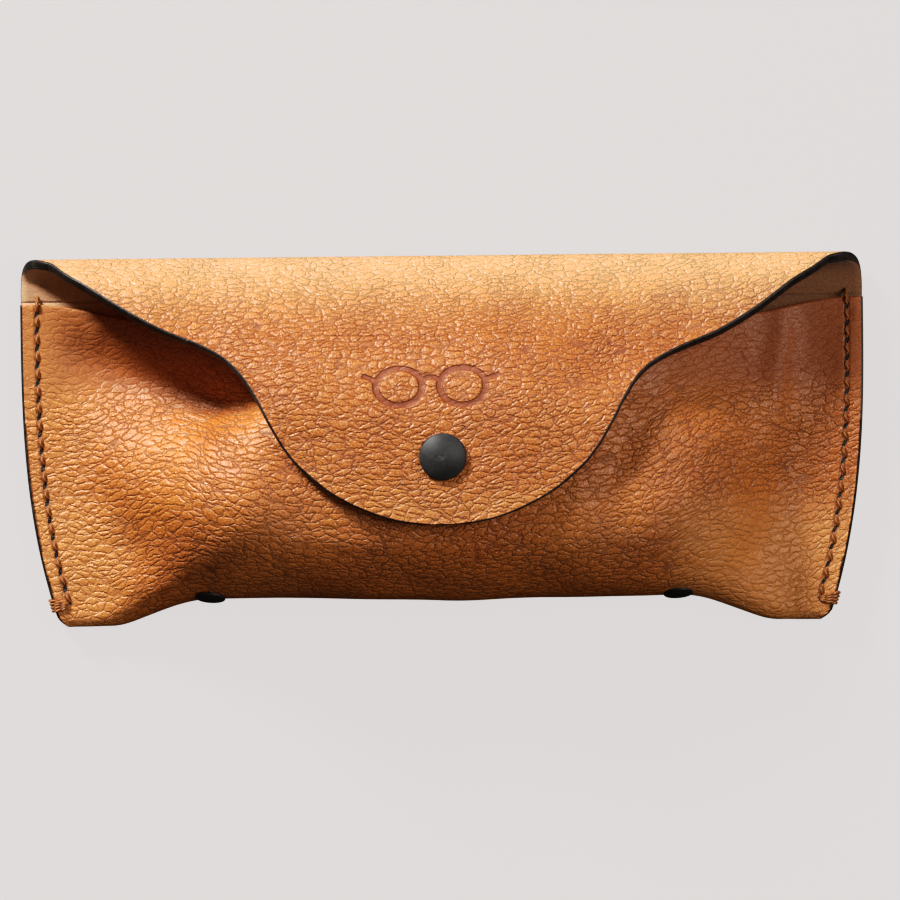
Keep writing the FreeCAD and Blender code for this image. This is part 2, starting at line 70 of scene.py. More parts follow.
# Places taken from the frame
HALF = pouch_high[0]
EAR_Y = pouch_low[1]
BELLY_Z = pouch_high[2]
CREST_Y = pouch_high[1]
FLAP_TOP = tongue_high[2]
TIP_Y = tongue_low[1]
SNAP_X = (cap_low[0] + cap_high[0]) / 2
SNAP_Y = (cap_low[1] + cap_high[1]) / 2

# Hide: the leather face and the suede face behind it
HIDE = 1.46
SHEET = 1.9
FACE_GAP = 0.02

# Pouch seen from the front
SIDE_TAPER = 8.0
TAPER_FROM_Y = 29.0
TAPER_LENGTH = 68.0
EAR_ROUND = 1.3
EAR_ROUND_FROM_Y = -36.5
EAR_ROUND_LENGTH = 2.4

# Pouch section, from the full middle to the sewn-flat sides
SEAM_Z = 4.2
BELLY_EDGE = 83.0
BELLY_RUN = 44.0
BELLY_TO_BASE = 23.9
BELLY_TOP_SEAM_Y = -10.0
BELLY_TOP_RISE = 12.0
BASE_MID_Y = -33.9
BASE_PINCH = 0.9
PINCH_RUN = 54.0
EAR_FROM = 52.0
EAR_RUN = 28.0
BASE_RUN = 40.0
BASE_RADIUS_Z = 6.5
BASE_RADIUS_Y = 6.9
MOUTH_SEAM_Y = 29.5
MOUTH_DIP = 3.5
MOUTH_DIP_EDGE = 86.0
MOUTH_DIP_RUN = 24.0
MOUTH_Z = 15.0
MOUTH_RUN = 50.0
JOIN_BACK_Y = 30.0

# Curl of the sewn sides
CURL_FROM = 70.0
CURL_RUN = 22.0
CURL = 0.55
CURL_WAVE = 0.35
CURL_LOW = 0.5
CURL_LOW_Y = -38.0
LEFT_CURL_SHARE = 0.25

# Wear of the front panel
FULL_RISE = 1.9
FULL_X = (-60.0, 40.0)
FULL_Y = (-32.0, 22.0)
RIPPLE = 0.30
RIPPLE_Y = -31.0
SLOW_WAVE = 0.40
QUICK_WAVE = 0.14

# Base board
BOARD_HALF = 58.0
BOARD_Y = -29.0
BOARD_DEPTH = SHEET + 0.25
BOARD_THICK = 1.2
BOARD_FROM = 2.45
BOARD_TO = 3.55
BOARD_COLUMNS = 61
BOARD_ROWS = 25

# Flap
FOLD_R = 5.5
FOLD_Y = CREST_Y - FOLD_R
RISE_DEG = 50.0
TIP_LEVEL_Y = -9.5
TIP_DROOP = 0.02
JOIN_TONGUE_Y = 22.0
FLAP_SHIFT = -0.35

# How the flap hangs: its edges lower than its middle, the right wing lowest, the left wing up over the hollow
EDGE_HANG = 0.5
RIGHT_HANG = 1.8
TONGUE_HOLD = 1.6
HANG_REACH = 17.0
RIGHT_REACH = 12.0
SIDE_HANG = 0.0003
WING_RISE = 2.2
WING_FROM = 46.0
FLAP_SLOW_WAVE = 0.30
FLAP_QUICK_WAVE = 0.12

# Seams
STITCH_IN = 3.5
STITCH_TOP_Y = 31.2
STITCH_PITCH = 3.64
STITCHES = 19

# One face of the hide, between two depths under the outer face. Its rim is a list of (how far out, share of the
# thickness), from outside to inside, and its outer side stops rim_in before the edge. Its end at the mouth is
# a list of (how far out, share of the thickness outside, share inside).
Layer = namedtuple("Layer", "top bottom rim rim_in mouth")
LEATHER = Layer(
    0.0, HIDE,
    [(-0.22, 0.03), (-0.07, 0.12), (0.0, 0.32), (0.03, 0.62), (0.02, 0.9)], -0.5,
    [(0.0, 0.32, 0.8), (-0.05, 0.14, 0.9), (-0.2, 0.04, 1.0), (-0.5, 0.0, 1.0)])
SUEDE = Layer(
    HIDE + FACE_GAP, SHEET,
    [(0.0, 0.1), (-0.03, 0.45), (-0.13, 0.8)], -0.3,
    [(-0.1, 0.25, 0.8), (-0.06, 0.1, 0.93), (-0.2, 0.0, 1.0), (-0.4, 0.0, 1.0)])
BOARD = SUEDE._replace(top=BOARD_DEPTH, bottom=BOARD_DEPTH + BOARD_THICK, mouth=[(0.0, 0.0, 1.0)])


def ease(t):
    """0 below 0, 1 above 1, and smooth between."""
    t = np.clip(t, 0.0, 1.0)
    return t * t * (3.0 - 2.0 * t)


def bell(x, width):
    return np.exp(-(x / width) ** 2)


# A few seeded waves, added up for slow unevenness
rng = np.random.default_rng(7)
WAVES = [(rng.uniform(-1, 1, 2), rng.uniform(0, 6.28)) for _ in range(14)]


def wander(x, y, scale):
    total = np.zeros_like(x)
    for (a, b), phase in WAVES:
        total = total + np.sin((a * x + b * y) * 6.28 / scale + phase)
    return total / 5.0


# ---------- Shape of the pouch ----------

def half_width(y):
    """The sides draw in towards the base, and the lower corners are rounded."""
    t = np.clip((TAPER_FROM_Y - y) / TAPER_LENGTH, 0, 1)
    corner = np.clip((EAR_ROUND_FROM_Y - y) / EAR_ROUND_LENGTH, 0, None)
    return HALF - SIDE_TAPER * t ** 3 - EAR_ROUND * corner ** 2


def section(d, s):
    """y and z of the outer face at distance d from the middle.

    s is 0 at the mouth, 1 and 2 at the ends of the level belly, 3 at the base, 4 where the back begins, and 5
    where the back joins the flap.
    """
    belly = ease((BELLY_EDGE - d) / BELLY_RUN)
    base = ease((BELLY_EDGE - d) / BASE_RUN)
    r = SEAM_Z / 2
    base_y = BASE_MID_Y + BASE_PINCH * ease(d / PINCH_RUN)
    base_y = base_y + (EAR_Y - BASE_MID_Y - BASE_PINCH) * ease((d - EAR_FROM) / EAR_RUN)
    top_z = SEAM_Z + (BELLY_Z - SEAM_Z) * belly
    base_z = r + (BASE_RADIUS_Z - r) * base
    back_y = base_y + r + (BASE_RADIUS_Y - r) * base
    low = base_y + r + (BELLY_TO_BASE - r) * belly
    high = BELLY_TOP_SEAM_Y + BELLY_TOP_RISE * belly
    mouth_y = MOUTH_SEAM_Y - MOUTH_DIP * ease((MOUTH_DIP_EDGE - d) / MOUTH_DIP_RUN)
    mouth_z = SEAM_Z + (MOUTH_Z - SEAM_Z) * ease((BELLY_EDGE - d) / MOUTH_RUN)
    t = np.clip(s, 0, 1)
    y = mouth_y + (high - mouth_y) * t
    z = top_z - (top_z - mouth_z) * (1 - t) ** 2
    y = np.where(s > 1, high + (low - high) * (s - 1), y)
    z = np.where(s > 1, top_z, z)
    a = np.radians(90 * np.clip(s - 2, 0, 1))
    y = np.where(s > 2, low + (base_y - low) * np.sin(a), y)
    z = np.where(s > 2, base_z + (top_z - base_z) * np.cos(a), z)
    a = np.radians(90 * np.clip(s - 3, 0, 1))
    y = np.where(s > 3, back_y + (base_y - back_y) * np.cos(a), y)
    z = np.where(s > 3, base_z * (1 - np.sin(a)), z)
    y = np.where(s > 4, back_y + (JOIN_BACK_Y - back_y) * (s - 4), y)
    z = np.where(s > 4, 0.0, z)
    return y, z


def edge_lift(x, y):
    """The sewn sides curl a little off the table, the right one more than the left."""
    side = ease((np.abs(x) - CURL_FROM) / CURL_RUN)
    curl = CURL + CURL_WAVE * np.sin(y / 11.0 + np.sign(x)) + CURL_LOW * bell(y - CURL_LOW_Y, 12.0)
    return side * curl * np.where(x < 0, LEFT_CURL_SHARE, 1.0)


# Troughs and ridges worn into the front panel: (x, y, height, width) along the middle of each
LEFT_VALLEY = [
    (-84, 25, 0.0, 6.0), (-76, 18, -2.8, 7.5), (-68, 14.5, -5.6, 8.5), (-60, 12, -8.6, 9.0),
    (-52, 10, -10.4, 8.5), (-44, 10, -10.0, 8.0), (-36, 14, -6.0, 8.0), (-25, 19, -2.2, 8.5), (-10, 22, 0.0, 8.5),
]
LEFT_RIDGE = [
    (-76, -2, 0.0, 8.0), (-64, -9, 1.2, 9.0), (-52, -12, 2.2, 9.0), (-40, -12, 2.4, 9.0), (-28, -4, 0.0, 8.0),
]
LEFT_FOLD = [(-60, -30, 0.0, 4.0), (-67, -21, -1.0, 4.5), (-72, -10, -0.5, 5.0), (-74, 0, 0.0, 5.0)]
RIGHT_VALLEY = [
    (84, 25, 0.0, 6.0), (68, 17, -0.9, 7.0), (56, 13, -1.6, 7.0), (45, 9, -2.4, 6.5), (38, -2, -1.6, 6.0),
    (28, -14, 0.0, 6.0),
]
RIGHT_CREASE = [
    (72.5, 31, 0.0, 2.4), (72.0, 22, 1.3, 2.6), (70.5, 10, 1.5, 2.8), (68.5, 0, 0.5, 3.2), (66.0, -8, 0.0, 3.2),
]
RIGHT_RIDGE = [(50, 2, 0.0, 8.0), (56, -8, 1.2, 9.0), (60, -18, 1.2, 8.0), (60, -28, 0.0, 7.0)]
RIGHT_FOLD = [(58, -31, 0.0, 4.0), (66, -24, -1.1, 4.5), (72, -12, -0.7, 5.0), (74, 2, 0.0, 5.0)]
WORN_LINES = (LEFT_VALLEY, LEFT_RIDGE, LEFT_FOLD, RIGHT_VALLEY, RIGHT_CREASE, RIGHT_RIDGE, RIGHT_FOLD)


def near_line(x, y, points):
    """Height of one trough or ridge at (x, y)."""
    best = np.full_like(x, np.inf)
    height = np.zeros_like(x)
    width = np.ones_like(x)
    for (x0, y0, h0, w0), (x1, y1, h1, w1) in zip(points[:-1], points[1:]):
        square = (x1 - x0) ** 2 + (y1 - y0) ** 2
        t = np.clip(((x - x0) * (x1 - x0) + (y - y0) * (y1 - y0)) / square, 0, 1)
        away = np.hypot(x - x0 - t * (x1 - x0), y - y0 - t * (y1 - y0))
        closer = away < best
        best = np.where(closer, away, best)
        height = np.where(closer, h0 + (h1 - h0) * t, height)
        width = np.where(closer, w0 + (w1 - w0) * t, width)
    return height * np.exp(-(best / width) ** 2)


def sculpt(x, y, z, front):
    """How far wear has moved the front panel along its normal. It keeps clear of the seams and the snap."""
    worn = np.zeros_like(x)
    for line in WORN_LINES:
        worn = worn + near_line(x, y, line)
    full = FULL_RISE * ease((x - FULL_X[0]) / 18.0) * ease((FULL_X[1] - x) / 14.0)
    full = full * ease((y - FULL_Y[0]) / 12.0) * ease((FULL_Y[1] - y) / 16.0)
    ripple = RIPPLE * np.sin(x / 5.2 + 1.5 * np.sin(x / 17.0)) * bell(y - RIPPLE_Y, 5.0)
    ripple = ripple * ease((60.0 - np.abs(x)) / 20.0)
    slow = SLOW_WAVE * wander(x, y * 1.4 + z * 0.7, 42.0) + QUICK_WAVE * wander(x + 31, y * 1.7 + z, 17.0)
    inside = ease((85.0 - np.abs(x)) / 10.0)
    around_snap = ease((np.hypot(x - SNAP_X, y - SNAP_Y) - 6.0) / 8.0)
    return front * inside * around_snap * (worn + full + ripple + slow)


def grid_normals(grid):
    n = np.cross(np.gradient(grid, axis=0), np.gradient(grid, axis=1))
    return n / np.linalg.norm(n, axis=2, keepdims=True)


def wear(grid):
    """Moves a grid on the plain outer face to the worn one."""
    normal = grid_normals(grid)
    front = ease((normal[..., 2] + 0.35) / 0.5)
    return grid + normal * sculpt(grid[..., 0], grid[..., 1], grid[..., 2], front)[..., None]


def pouch_grid(rows, columns_x):
    """Outer face of the pouch from mouth to back join: points, normals and length along the hide."""
    fine = np.linspace(0, 5, 1500)
    grid = np.zeros((rows, len(columns_x), 3))
    run = np.zeros((rows, len(columns_x)))
    share = np.linspace(0, 1, rows)
    for column, u in enumerate(columns_x / HALF):
        y, z = section(np.full_like(fine, abs(u) * HALF), fine)
        length = np.concatenate([[0], np.cumsum(np.hypot(np.diff(y), np.diff(z)))])
        at = share * length[-1]
        grid_y = np.interp(at, length, y)
        grid[:, column, 0] = u * half_width(grid_y)
        grid[:, column, 1] = grid_y
        grid[:, column, 2] = np.interp(at, length, z)
        run[:, column] = at - length[-1]
    lift = edge_lift(grid[..., 0], grid[..., 1])
    grid = wear(grid)
    grid[..., 2] += lift
    return grid, grid_normals(grid), run


def board_grid():
    """The stretch of the plain section behind which the base board lies."""
    s = np.linspace(BOARD_FROM, BOARD_TO, BOARD_ROWS)
    grid = np.zeros((BOARD_ROWS, BOARD_COLUMNS, 3))
    reach = BOARD_HALF / half_width(BOARD_Y)
    for column, u in enumerate(np.linspace(-reach, reach, BOARD_COLUMNS)):
        y, z = section(np.full_like(s, abs(u) * HALF), s)
        grid[:, column] = np.stack([u * half_width(y), y, z], axis=1)
    grid = wear(grid)
    run = np.linspace(0, 20, BOARD_ROWS)[:, None] * np.ones((1, BOARD_COLUMNS))
    return grid, grid_normals(grid), run


def unit(vectors):
    return vectors / np.linalg.norm(vectors, axis=1, keepdims=True)


def sheet_rings(grid, normal, run, layer):
    """Rings round one layer, from the mouth down.

    Each ring runs along the outer side from left to right, round the right rim, back along the inner side and
    round the left rim. Also gives each point's place in the hide's pattern, and a function that spreads a grid
    of values over the rings.
    """
    rows, columns = grid.shape[:2]
    out_right = unit(grid[:, -1] - grid[:, -2])
    out_left = unit(grid[:, 0] - grid[:, 1])
    up = unit(grid[0] - grid[1])

    def ring(row, rise, top, bottom):
        base = grid[row] + up * rise
        n = normal[row]
        outer = base - n * top
        inner = base - n * bottom
        outer[-1] += out_right[row] * layer.rim_in
        outer[0] += out_left[row] * layer.rim_in
        inner[-1] += out_right[row] * layer.rim[-1][0]
        inner[0] += out_left[row] * layer.rim[-1][0]
        right = [base[-1] + out_right[row] * e - n[-1] * (top + (bottom - top) * f) for e, f in layer.rim]
        left = [base[0] + out_left[row] * e - n[0] * (top + (bottom - top) * f) for e, f in layer.rim[::-1]]
        return np.concatenate([outer, np.array(right), inner[::-1], np.array(left)])

    thick = layer.bottom - layer.top
    rings = [ring(0, e, layer.top + thick * f0, layer.top + thick * f1) for e, f0, f1 in layer.mouth]
    rings += [ring(row, 0.0, layer.top, layer.bottom) for row in range(1, rows)]
    row_of = np.array([0] * len(layer.mouth) + list(range(1, rows)))
    rise_of = np.array([e for e, _, _ in layer.mouth] + [0.0] * (rows - 1))
    rim = len(layer.rim)
    column_of = np.concatenate([
        np.arange(columns), np.full(rim, columns - 1), np.arange(columns)[::-1], np.zeros(rim, int)])

    def spread(values):
        return values[row_of][:, column_of]

    x = spread(grid[..., 0])
    pattern = np.stack([x, spread(run) - rise_of[:, None], np.zeros_like(x)], axis=-1)
    return np.array(rings), pattern, spread


# ---------- Making meshes ----------

OUTSIDE, EDGE, INSIDE = 0, 1, 2


def add_mesh(name, points, faces, pattern, materials):
    """Smooth mesh object that keeps each point's place in the hide's pattern as an attribute."""
    mesh = bpy.data.meshes.new(name)
    mesh.from_pydata((np.reshape(points, (-1, 3)) * MM).tolist(), [], faces)
    mesh.polygons.foreach_set("use_smooth", [True] * len(faces))
    attribute = mesh.attributes.new("hide", "FLOAT_VECTOR", "POINT")
    attribute.data.foreach_set("vector", np.array(pattern, np.float32).reshape(-1))
    for material in materials:
        mesh.materials.append(material)
    piece = bpy.data.objects.new(name, mesh)
    bpy.context.scene.collection.objects.link(piece)
    return piece


def end_faces(ring, columns, rim):
    """Faces that close the end of a sheet: a strip between its two sides, and one face at each rim."""
    outer = ring[:columns]
    inner = ring[columns + rim:2 * columns + rim][::-1]
    strip = [[outer[i + 1], outer[i], inner[i], inner[i + 1]] for i in range(columns - 1)]
    right = [outer[-1]] + ring[columns:columns + rim] + [inner[-1]]
    left = [inner[0]] + ring[2 * columns + rim:] + [outer[0]]
    return strip + [right, left]


def sheet_piece(name, rings, pattern, columns, rim, materials, extras=None, tip=False):
    """Closed mesh of a sheet from its rings; materials are for its outside, painted edge and inside.

    The last ring of a sheet with a tip has no width, so it needs no faces to close it.
    """
    rows, count = rings.shape[:2]
    index = np.arange(rows * count).reshape(rows, count)
    near, far = index[:-1], index[1:]
    quads = np.stack([near, np.roll(near, -1, axis=1), np.roll(far, -1, axis=1), far], axis=-1)
    faces = quads.reshape(-1, 4).tolist()
    side = columns - 1
    painted = [EDGE] * (rim + 1)
    kinds = ([OUTSIDE] * side + painted + [INSIDE] * side + painted) * (rows - 1)
    ends = end_faces(index[0].tolist(), columns, rim)
    if not tip:
        ends += [face[::-1] for face in end_faces(index[-1].tolist(), columns, rim)]
    faces += ends
    kinds += [EDGE] * len(ends)
    piece = add_mesh(name, rings, faces, pattern, materials)
    mesh = piece.data
    mesh.polygons.foreach_set("material_index", kinds)
    for key, values in (extras or {}).items():
        attribute = mesh.attributes.new(key, "FLOAT", "POINT")
        attribute.data.foreach_set("value", values.reshape(-1).astype(np.float32))
    bm = bmesh.new()
    bm.from_mesh(mesh)
    bmesh.ops.remove_doubles(bm, verts=bm.verts, dist=2e-6)
    bmesh.ops.dissolve_degenerate(bm, edges=bm.edges, dist=1e-7)
    bmesh.ops.recalc_face_normals(bm, faces=bm.faces)
    bm.to_mesh(mesh)
    bm.free()
    mesh.update()
    return piece


def stand_for(node):
    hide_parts(node)


# ---------- Materials ----------

class Value:
    """A number in a shader that can be added, multiplied and so on."""

    def __init__(self, tree, socket):
        self.tree = tree
        self.socket = socket

    def math(self, operation, *others):
        node = self.tree.nodes.new("ShaderNodeMath")
        node.operation = operation
        self.tree.links.new(self.socket, node.inputs[0])
        for index, other in enumerate(others):
            if isinstance(other, Value):
                self.tree.links.new(other.socket, node.inputs[index + 1])
            else:
                node.inputs[index + 1].default_value = other
        return Value(self.tree, node.outputs[0])

    def __add__(self, other):
        return self.math("ADD", other)

    def __sub__(self, other):
        return self.math("SUBTRACT", other)

    def __mul__(self, other):
        return self.math("MULTIPLY", other)

    def __truediv__(self, other):
        return self.math("DIVIDE", other)

    def square(self):
        return self.math("POWER", 2.0)

    def invert(self):
        return (self * -1.0) + 1.0

    def step(self, low, high):
        """0 below low, 1 above high, and smooth between."""
        node = self.tree.nodes.new("ShaderNodeMapRange")
        node.interpolation_type = "SMOOTHSTEP"
        node.inputs["From Min"].default_value = low
        node.inputs["From Max"].default_value = high
        self.tree.links.new(self.socket, node.inputs["Value"])
        return Value(self.tree, node.outputs["Result"])


class Shader:
    """One material and the helpers to fill it. Places are in mm."""

    def __init__(self, name, attribute=None):
        self.material = bpy.data.materials.new(name)
        self.material.use_nodes = True
        self.tree = self.material.node_tree
        self.bsdf = self.tree.nodes["Principled BSDF"]
        if attribute:
            node = self.tree.nodes.new("ShaderNodeAttribute")
            node.attribute_name = attribute
            self.place = node.outputs["Vector"]
        else:
            node = self.tree.nodes.new("ShaderNodeTexCoord")
            scale = self.tree.nodes.new("ShaderNodeVectorMath")
            scale.operation = "SCALE"
            scale.inputs["Scale"].default_value = 1.0 / MM
            self.tree.links.new(node.outputs["Object"], scale.inputs[0])
            self.place = scale.outputs[0]

    def value(self, name):
        node = self.tree.nodes.new("ShaderNodeAttribute")
        node.attribute_name = name
        return Value(self.tree, node.outputs["Fac"])

    def parts(self, vector):
        node = self.tree.nodes.new("ShaderNodeSeparateXYZ")
        self.tree.links.new(vector, node.inputs[0])
        return [Value(self.tree, socket) for socket in node.outputs]

    def join(self, x, y):
        node = self.tree.nodes.new("ShaderNodeCombineXYZ")
        self.tree.links.new(x.socket, node.inputs[0])
        self.tree.links.new(y.socket, node.inputs[1])
        return node.outputs[0]

    def noise_node(self, vector, scale, detail, rough):
        node = self.tree.nodes.new("ShaderNodeTexNoise")
        node.inputs["Scale"].default_value = scale
        node.inputs["Detail"].default_value = detail
        node.inputs["Roughness"].default_value = rough
        self.tree.links.new(vector, node.inputs["Vector"])
        return node

    def noise(self, vector, scale, detail=2.0, rough=0.5):
        return Value(self.tree, self.noise_node(vector, scale, detail, rough).outputs[0])

    def drift(self, scale, detail):
        """Two unlike noises, for moving a pattern sideways and lengthways; each is near 0 in the mean."""
        x, y, _ = self.parts(self.noise_node(self.place, scale, detail, 0.5).outputs["Color"])
        return x - 0.5, y - 0.5

    def cells(self, vector, feature, random):
        node = self.tree.nodes.new("ShaderNodeTexVoronoi")
        node.feature = feature
        node.inputs["Scale"].default_value = 1.0
        node.inputs["Randomness"].default_value = random
        self.tree.links.new(vector, node.inputs["Vector"])
        return Value(self.tree, node.outputs["Distance"])

    def mix(self, factor, first, second):
        """The first colour turns into the second as the factor goes from 0 to 1."""
        node = self.tree.nodes.new("ShaderNodeMix")
        node.data_type = "RGBA"
        self.tree.links.new(factor.socket, node.inputs[0])
        for index, item in ((6, first), (7, second)):
            if isinstance(item, tuple):
                node.inputs[index].default_value = (*item, 1.0)
            else:
                self.tree.links.new(item, node.inputs[index])
        return node.outputs[2]

    def set(self, name, value):
        if isinstance(value, Value):
            self.tree.links.new(value.socket, self.bsdf.inputs[name])
        else:
            self.bsdf.inputs[name].default_value = value

    def finish(self, colour, rough, height, bump_depth):
        self.tree.links.new(colour, self.bsdf.inputs["Base Color"])
        self.set("Roughness", rough)
        bump = self.tree.nodes.new("ShaderNodeBump")
        bump.inputs["Distance"].default_value = bump_depth * MM
        self.tree.links.new(height.socket, bump.inputs["Height"])
        self.tree.links.new(bump.outputs[0], self.bsdf.inputs["Normal"])
        return self.material


TAN = (0.53, 0.150, 0.025)
TAN_FAIR = (0.64, 0.205, 0.038)
# Paler where the hide is bent over the fold: partly the hide's own paling, partly a painted highlight on the lit
# fold
TAN_BENT_AND_HIGHLIT = (0.92, 0.58, 0.31)
# Painted shade across the flap's face below the fold
TAN_PAINTED_FLAP_SHADE = (0.40, 0.095, 0.015)
# Painted light on the ears, the sides, the lower belly and the tongue's tip
TAN_PAINTED_LIGHT = (0.86, 0.38, 0.12)
# Painted shade for the front panel under the flap's edge
TAN_PAINTED_SHADE_UNDER_FLAP = (0.28, 0.066, 0.009)
SPECK_FAIR = (0.92, 0.45, 0.15)
SPECK_DARK = (0.26, 0.062, 0.010)
SMALL_CREASE = (0.25, 0.06, 0.012)
DEEP_CREASE = (0.14, 0.030, 0.006)
STAIN = (0.035, 0.022, 0.018)
MARK_INK = (0.21, 0.045, 0.014)
MARK_RIM = (0.15, 0.03, 0.01)
STITCH_GROOVE = (0.20, 0.045, 0.010)
# Painted shade in the awl holes
HOLE_PAINTED_SHADE = (0.006, 0.003, 0.002)


def hide_grain(s, x, y):
    """Creases between pebbles, finer creases, pores, slow patches, and the height they make together."""
    broad_x, broad_y = s.drift(0.040, 1.0)
    mid_x, mid_y = s.drift(0.33, 2.0)
    fine_x, fine_y = s.drift(1.1, 1.0)
    lean = (x + 30.0).math("MAXIMUM", 0.0)
    grain_x = x + broad_x * 6.0 + mid_x * 2.2 + fine_x * 0.9
    grain_y = y + lean * lean * 0.0013 + broad_y * 6.0 + mid_y * 1.4 + fine_y * 0.7
    pebbles = s.join(grain_x * 0.36, grain_y * 0.74)
    dome = s.cells(pebbles, "F1", 0.9)
    edge = s.cells(pebbles, "DISTANCE_TO_EDGE", 0.9)
    small = s.cells(s.join(grain_x * 0.78 + 7.0, grain_y * 1.36), "DISTANCE_TO_EDGE", 1.0)
    pores = s.noise(s.place, 2.5, 2.0, 0.65)
    crinkle = s.noise(s.join(x * 1.7, y * 0.9), 1.0, 2.0, 0.6)
    patch = s.noise(s.place, 0.10, 2.0)
    worn = patch.step(0.36, 0.66)
    crease = edge.step(0.0, 0.065).invert() * (worn * 0.4 + 0.6)
    small_crease = small.step(0.0, 0.10).invert() * worn
    swell = edge.step(0.0, 0.20) * 0.6 + dome.step(0.0, 0.8).invert() * 0.45
    height = swell - crease * 0.30 - small_crease * 0.26 + pores * 0.75 + crinkle * 0.24
    return crease, small_crease, pores, patch, height


def seam_holes(s, base, height):
    """Awl holes that lean over, in a groove along the stitch line."""
    d = s.value("seam_d")
    q = s.value("seam_q")
    a = (q.math("FRACT") - 0.5) * STITCH_PITCH
    along = a * 0.95 + d * 0.30
    side = d * 0.95 - a * 0.30
    ring = (along / 0.86).square() + (side / 0.36).square()
    sewn = q.step(-0.3, -0.1) * q.step(STITCHES - 0.6, STITCHES - 0.4).invert()
    hole = ring.step(0.55, 1.5).invert() * sewn
    groove = (d / 0.75).square().step(0.2, 1.3).invert() * sewn
    base = s.mix(groove * 0.35, base, STITCH_GROOVE)
    # Painted shade: the awl holes are painted near black
    base = s.mix(hole, base, HOLE_PAINTED_SHADE)
    return base, height * (groove * -0.5 + 1.0) - hole * 2.4 - groove * 0.5


def hide_material(name, seam=False, mark=False, fold=None):
    """Pebbled tan hide. fold gives path places: paler where it is bent, partly the hide's own paling and partly a
    painted highlight, then a band of painted shade, then painted light at the tip.
    """
    s = Shader(name, "hide")
    x, y, _ = s.parts(s.place)
    crease, small_crease, pores, patch, height = hide_grain(s, x, y)
    if seam:
        smooth = s.value("plain")
        height = height * smooth.invert()
    tone = s.noise(s.place, 0.055, 3.0, 0.55)
    base = s.mix(tone.step(0.3, 0.72), TAN, TAN_FAIR)
    lines = crease
    if fold:
        # Paler over the fold, partly the hide paling where bent and partly a painted highlight; the creases are
        # weakened under it
        pale = y.step(fold[0], fold[1]) * y.step(fold[2], fold[3]).invert()
        base = s.mix(pale * 0.78, base, TAN_BENT_AND_HIGHLIT)
        # Painted shade across the flap below the fold, darkest near y = 20 mm
        dull = y.step(fold[2], fold[3]) * y.step(fold[3], fold[4]).invert()
        base = s.mix(dull * 0.50, base, TAN_PAINTED_FLAP_SHADE)
        # Painted light towards the tongue's tip
        base = s.mix(y.step(fold[4], fold[5]) * 0.35, base, TAN_PAINTED_LIGHT)
        lines = crease * (pale * -0.5 + 1.0)
    base = s.mix(pores.step(0.50, 0.64) * 0.52, base, SPECK_FAIR)
    base = s.mix(pores.step(0.36, 0.50).invert() * 0.55, base, SPECK_DARK)
    base = s.mix(small_crease * 0.30, base, SMALL_CREASE)
    base = s.mix(lines * 0.74, base, DEEP_CREASE)
    rough = crease * 0.25 + patch * 0.10 - pores.step(0.50, 0.66) * 0.18 + 0.42
    if mark:
        distance = s.value("mark")
        ink = distance.step(-0.12, 0.12).invert()
        rim = distance.math("ABSOLUTE").step(0.0, 0.28).invert()
        base = s.mix(ink * 0.80, base, MARK_INK)
        base = s.mix(rim * 0.30, base, MARK_RIM)
        height = height * (ink * -0.7 + 1.0) - ink * 0.3
        rough = rough + ink * 0.1
    if seam:
        # Painted shade: darker under the flap's edge, more so to the right
        base = s.mix(smooth * 0.85, base, TAN_PAINTED_SHADE_UNDER_FLAP)
        base = s.mix(s.value("stain") * 0.85, base, STAIN)
        # Painted light: paler on the ears, the sides and the lower belly
        base = s.mix(s.value("painted_light") * 0.55, base, TAN_PAINTED_LIGHT)
        rough = rough + smooth * 0.2
        base, height = seam_holes(s, base, height)
    s.set("Specular IOR Level", 0.85)
    return s.finish(base, rough, height, 0.20)


def suede_material(name, dark, light):
    """Napped inner face, with painted light to the left and painted shade to the right."""
    s = Shader(name, "hide")
    x, _, _ = s.parts(s.place)
    nap = s.noise(s.place, 1.6, 4.0, 0.7)
    broad = s.noise(s.place, 0.12, 2.0)
    fleck = s.noise(s.place, 4.5, 2.0, 0.6)
    colour = s.mix(nap.step(0.3, 0.7), dark, light)
    colour = s.mix(broad.step(0.3, 0.7) * 0.4, colour, dark)
    colour = s.mix(fleck.step(0.58, 0.75) * 0.5, colour, (0.66, 0.42, 0.26))
    # Painted shade to the right and painted light to the left
    colour = s.mix(x.step(10.0, 80.0) * 0.5, colour, (0.20, 0.09, 0.045))
    colour = s.mix(x.step(-80.0, -30.0).invert() * 0.5, colour, (0.85, 0.52, 0.33))
    s.set("Specular IOR Level", 0.12)
    s.set("Sheen Weight", 0.35)
    s.set("Sheen Roughness", 0.5)
    return s.finish(colour, 0.95, nap * 0.7 + fleck * 0.5, 0.22)


def paint_material(name):
    """Black edge paint, worn in spots."""
    s = Shader(name, "hide")
    rub = s.noise(s.place, 0.5, 3.0, 0.6)
    fine = s.noise(s.place, 2.2, 3.0, 0.6)
    colour = s.mix(rub.step(0.35, 0.75), (0.016, 0.013, 0.012), (0.045, 0.037, 0.034))
    colour = s.mix(fine.step(0.66, 0.78) * 0.6, colour, (0.10, 0.075, 0.06))
    return s.finish(colour, rub * 0.3 + 0.32, fine * 0.6 + rub * 0.5, 0.16)


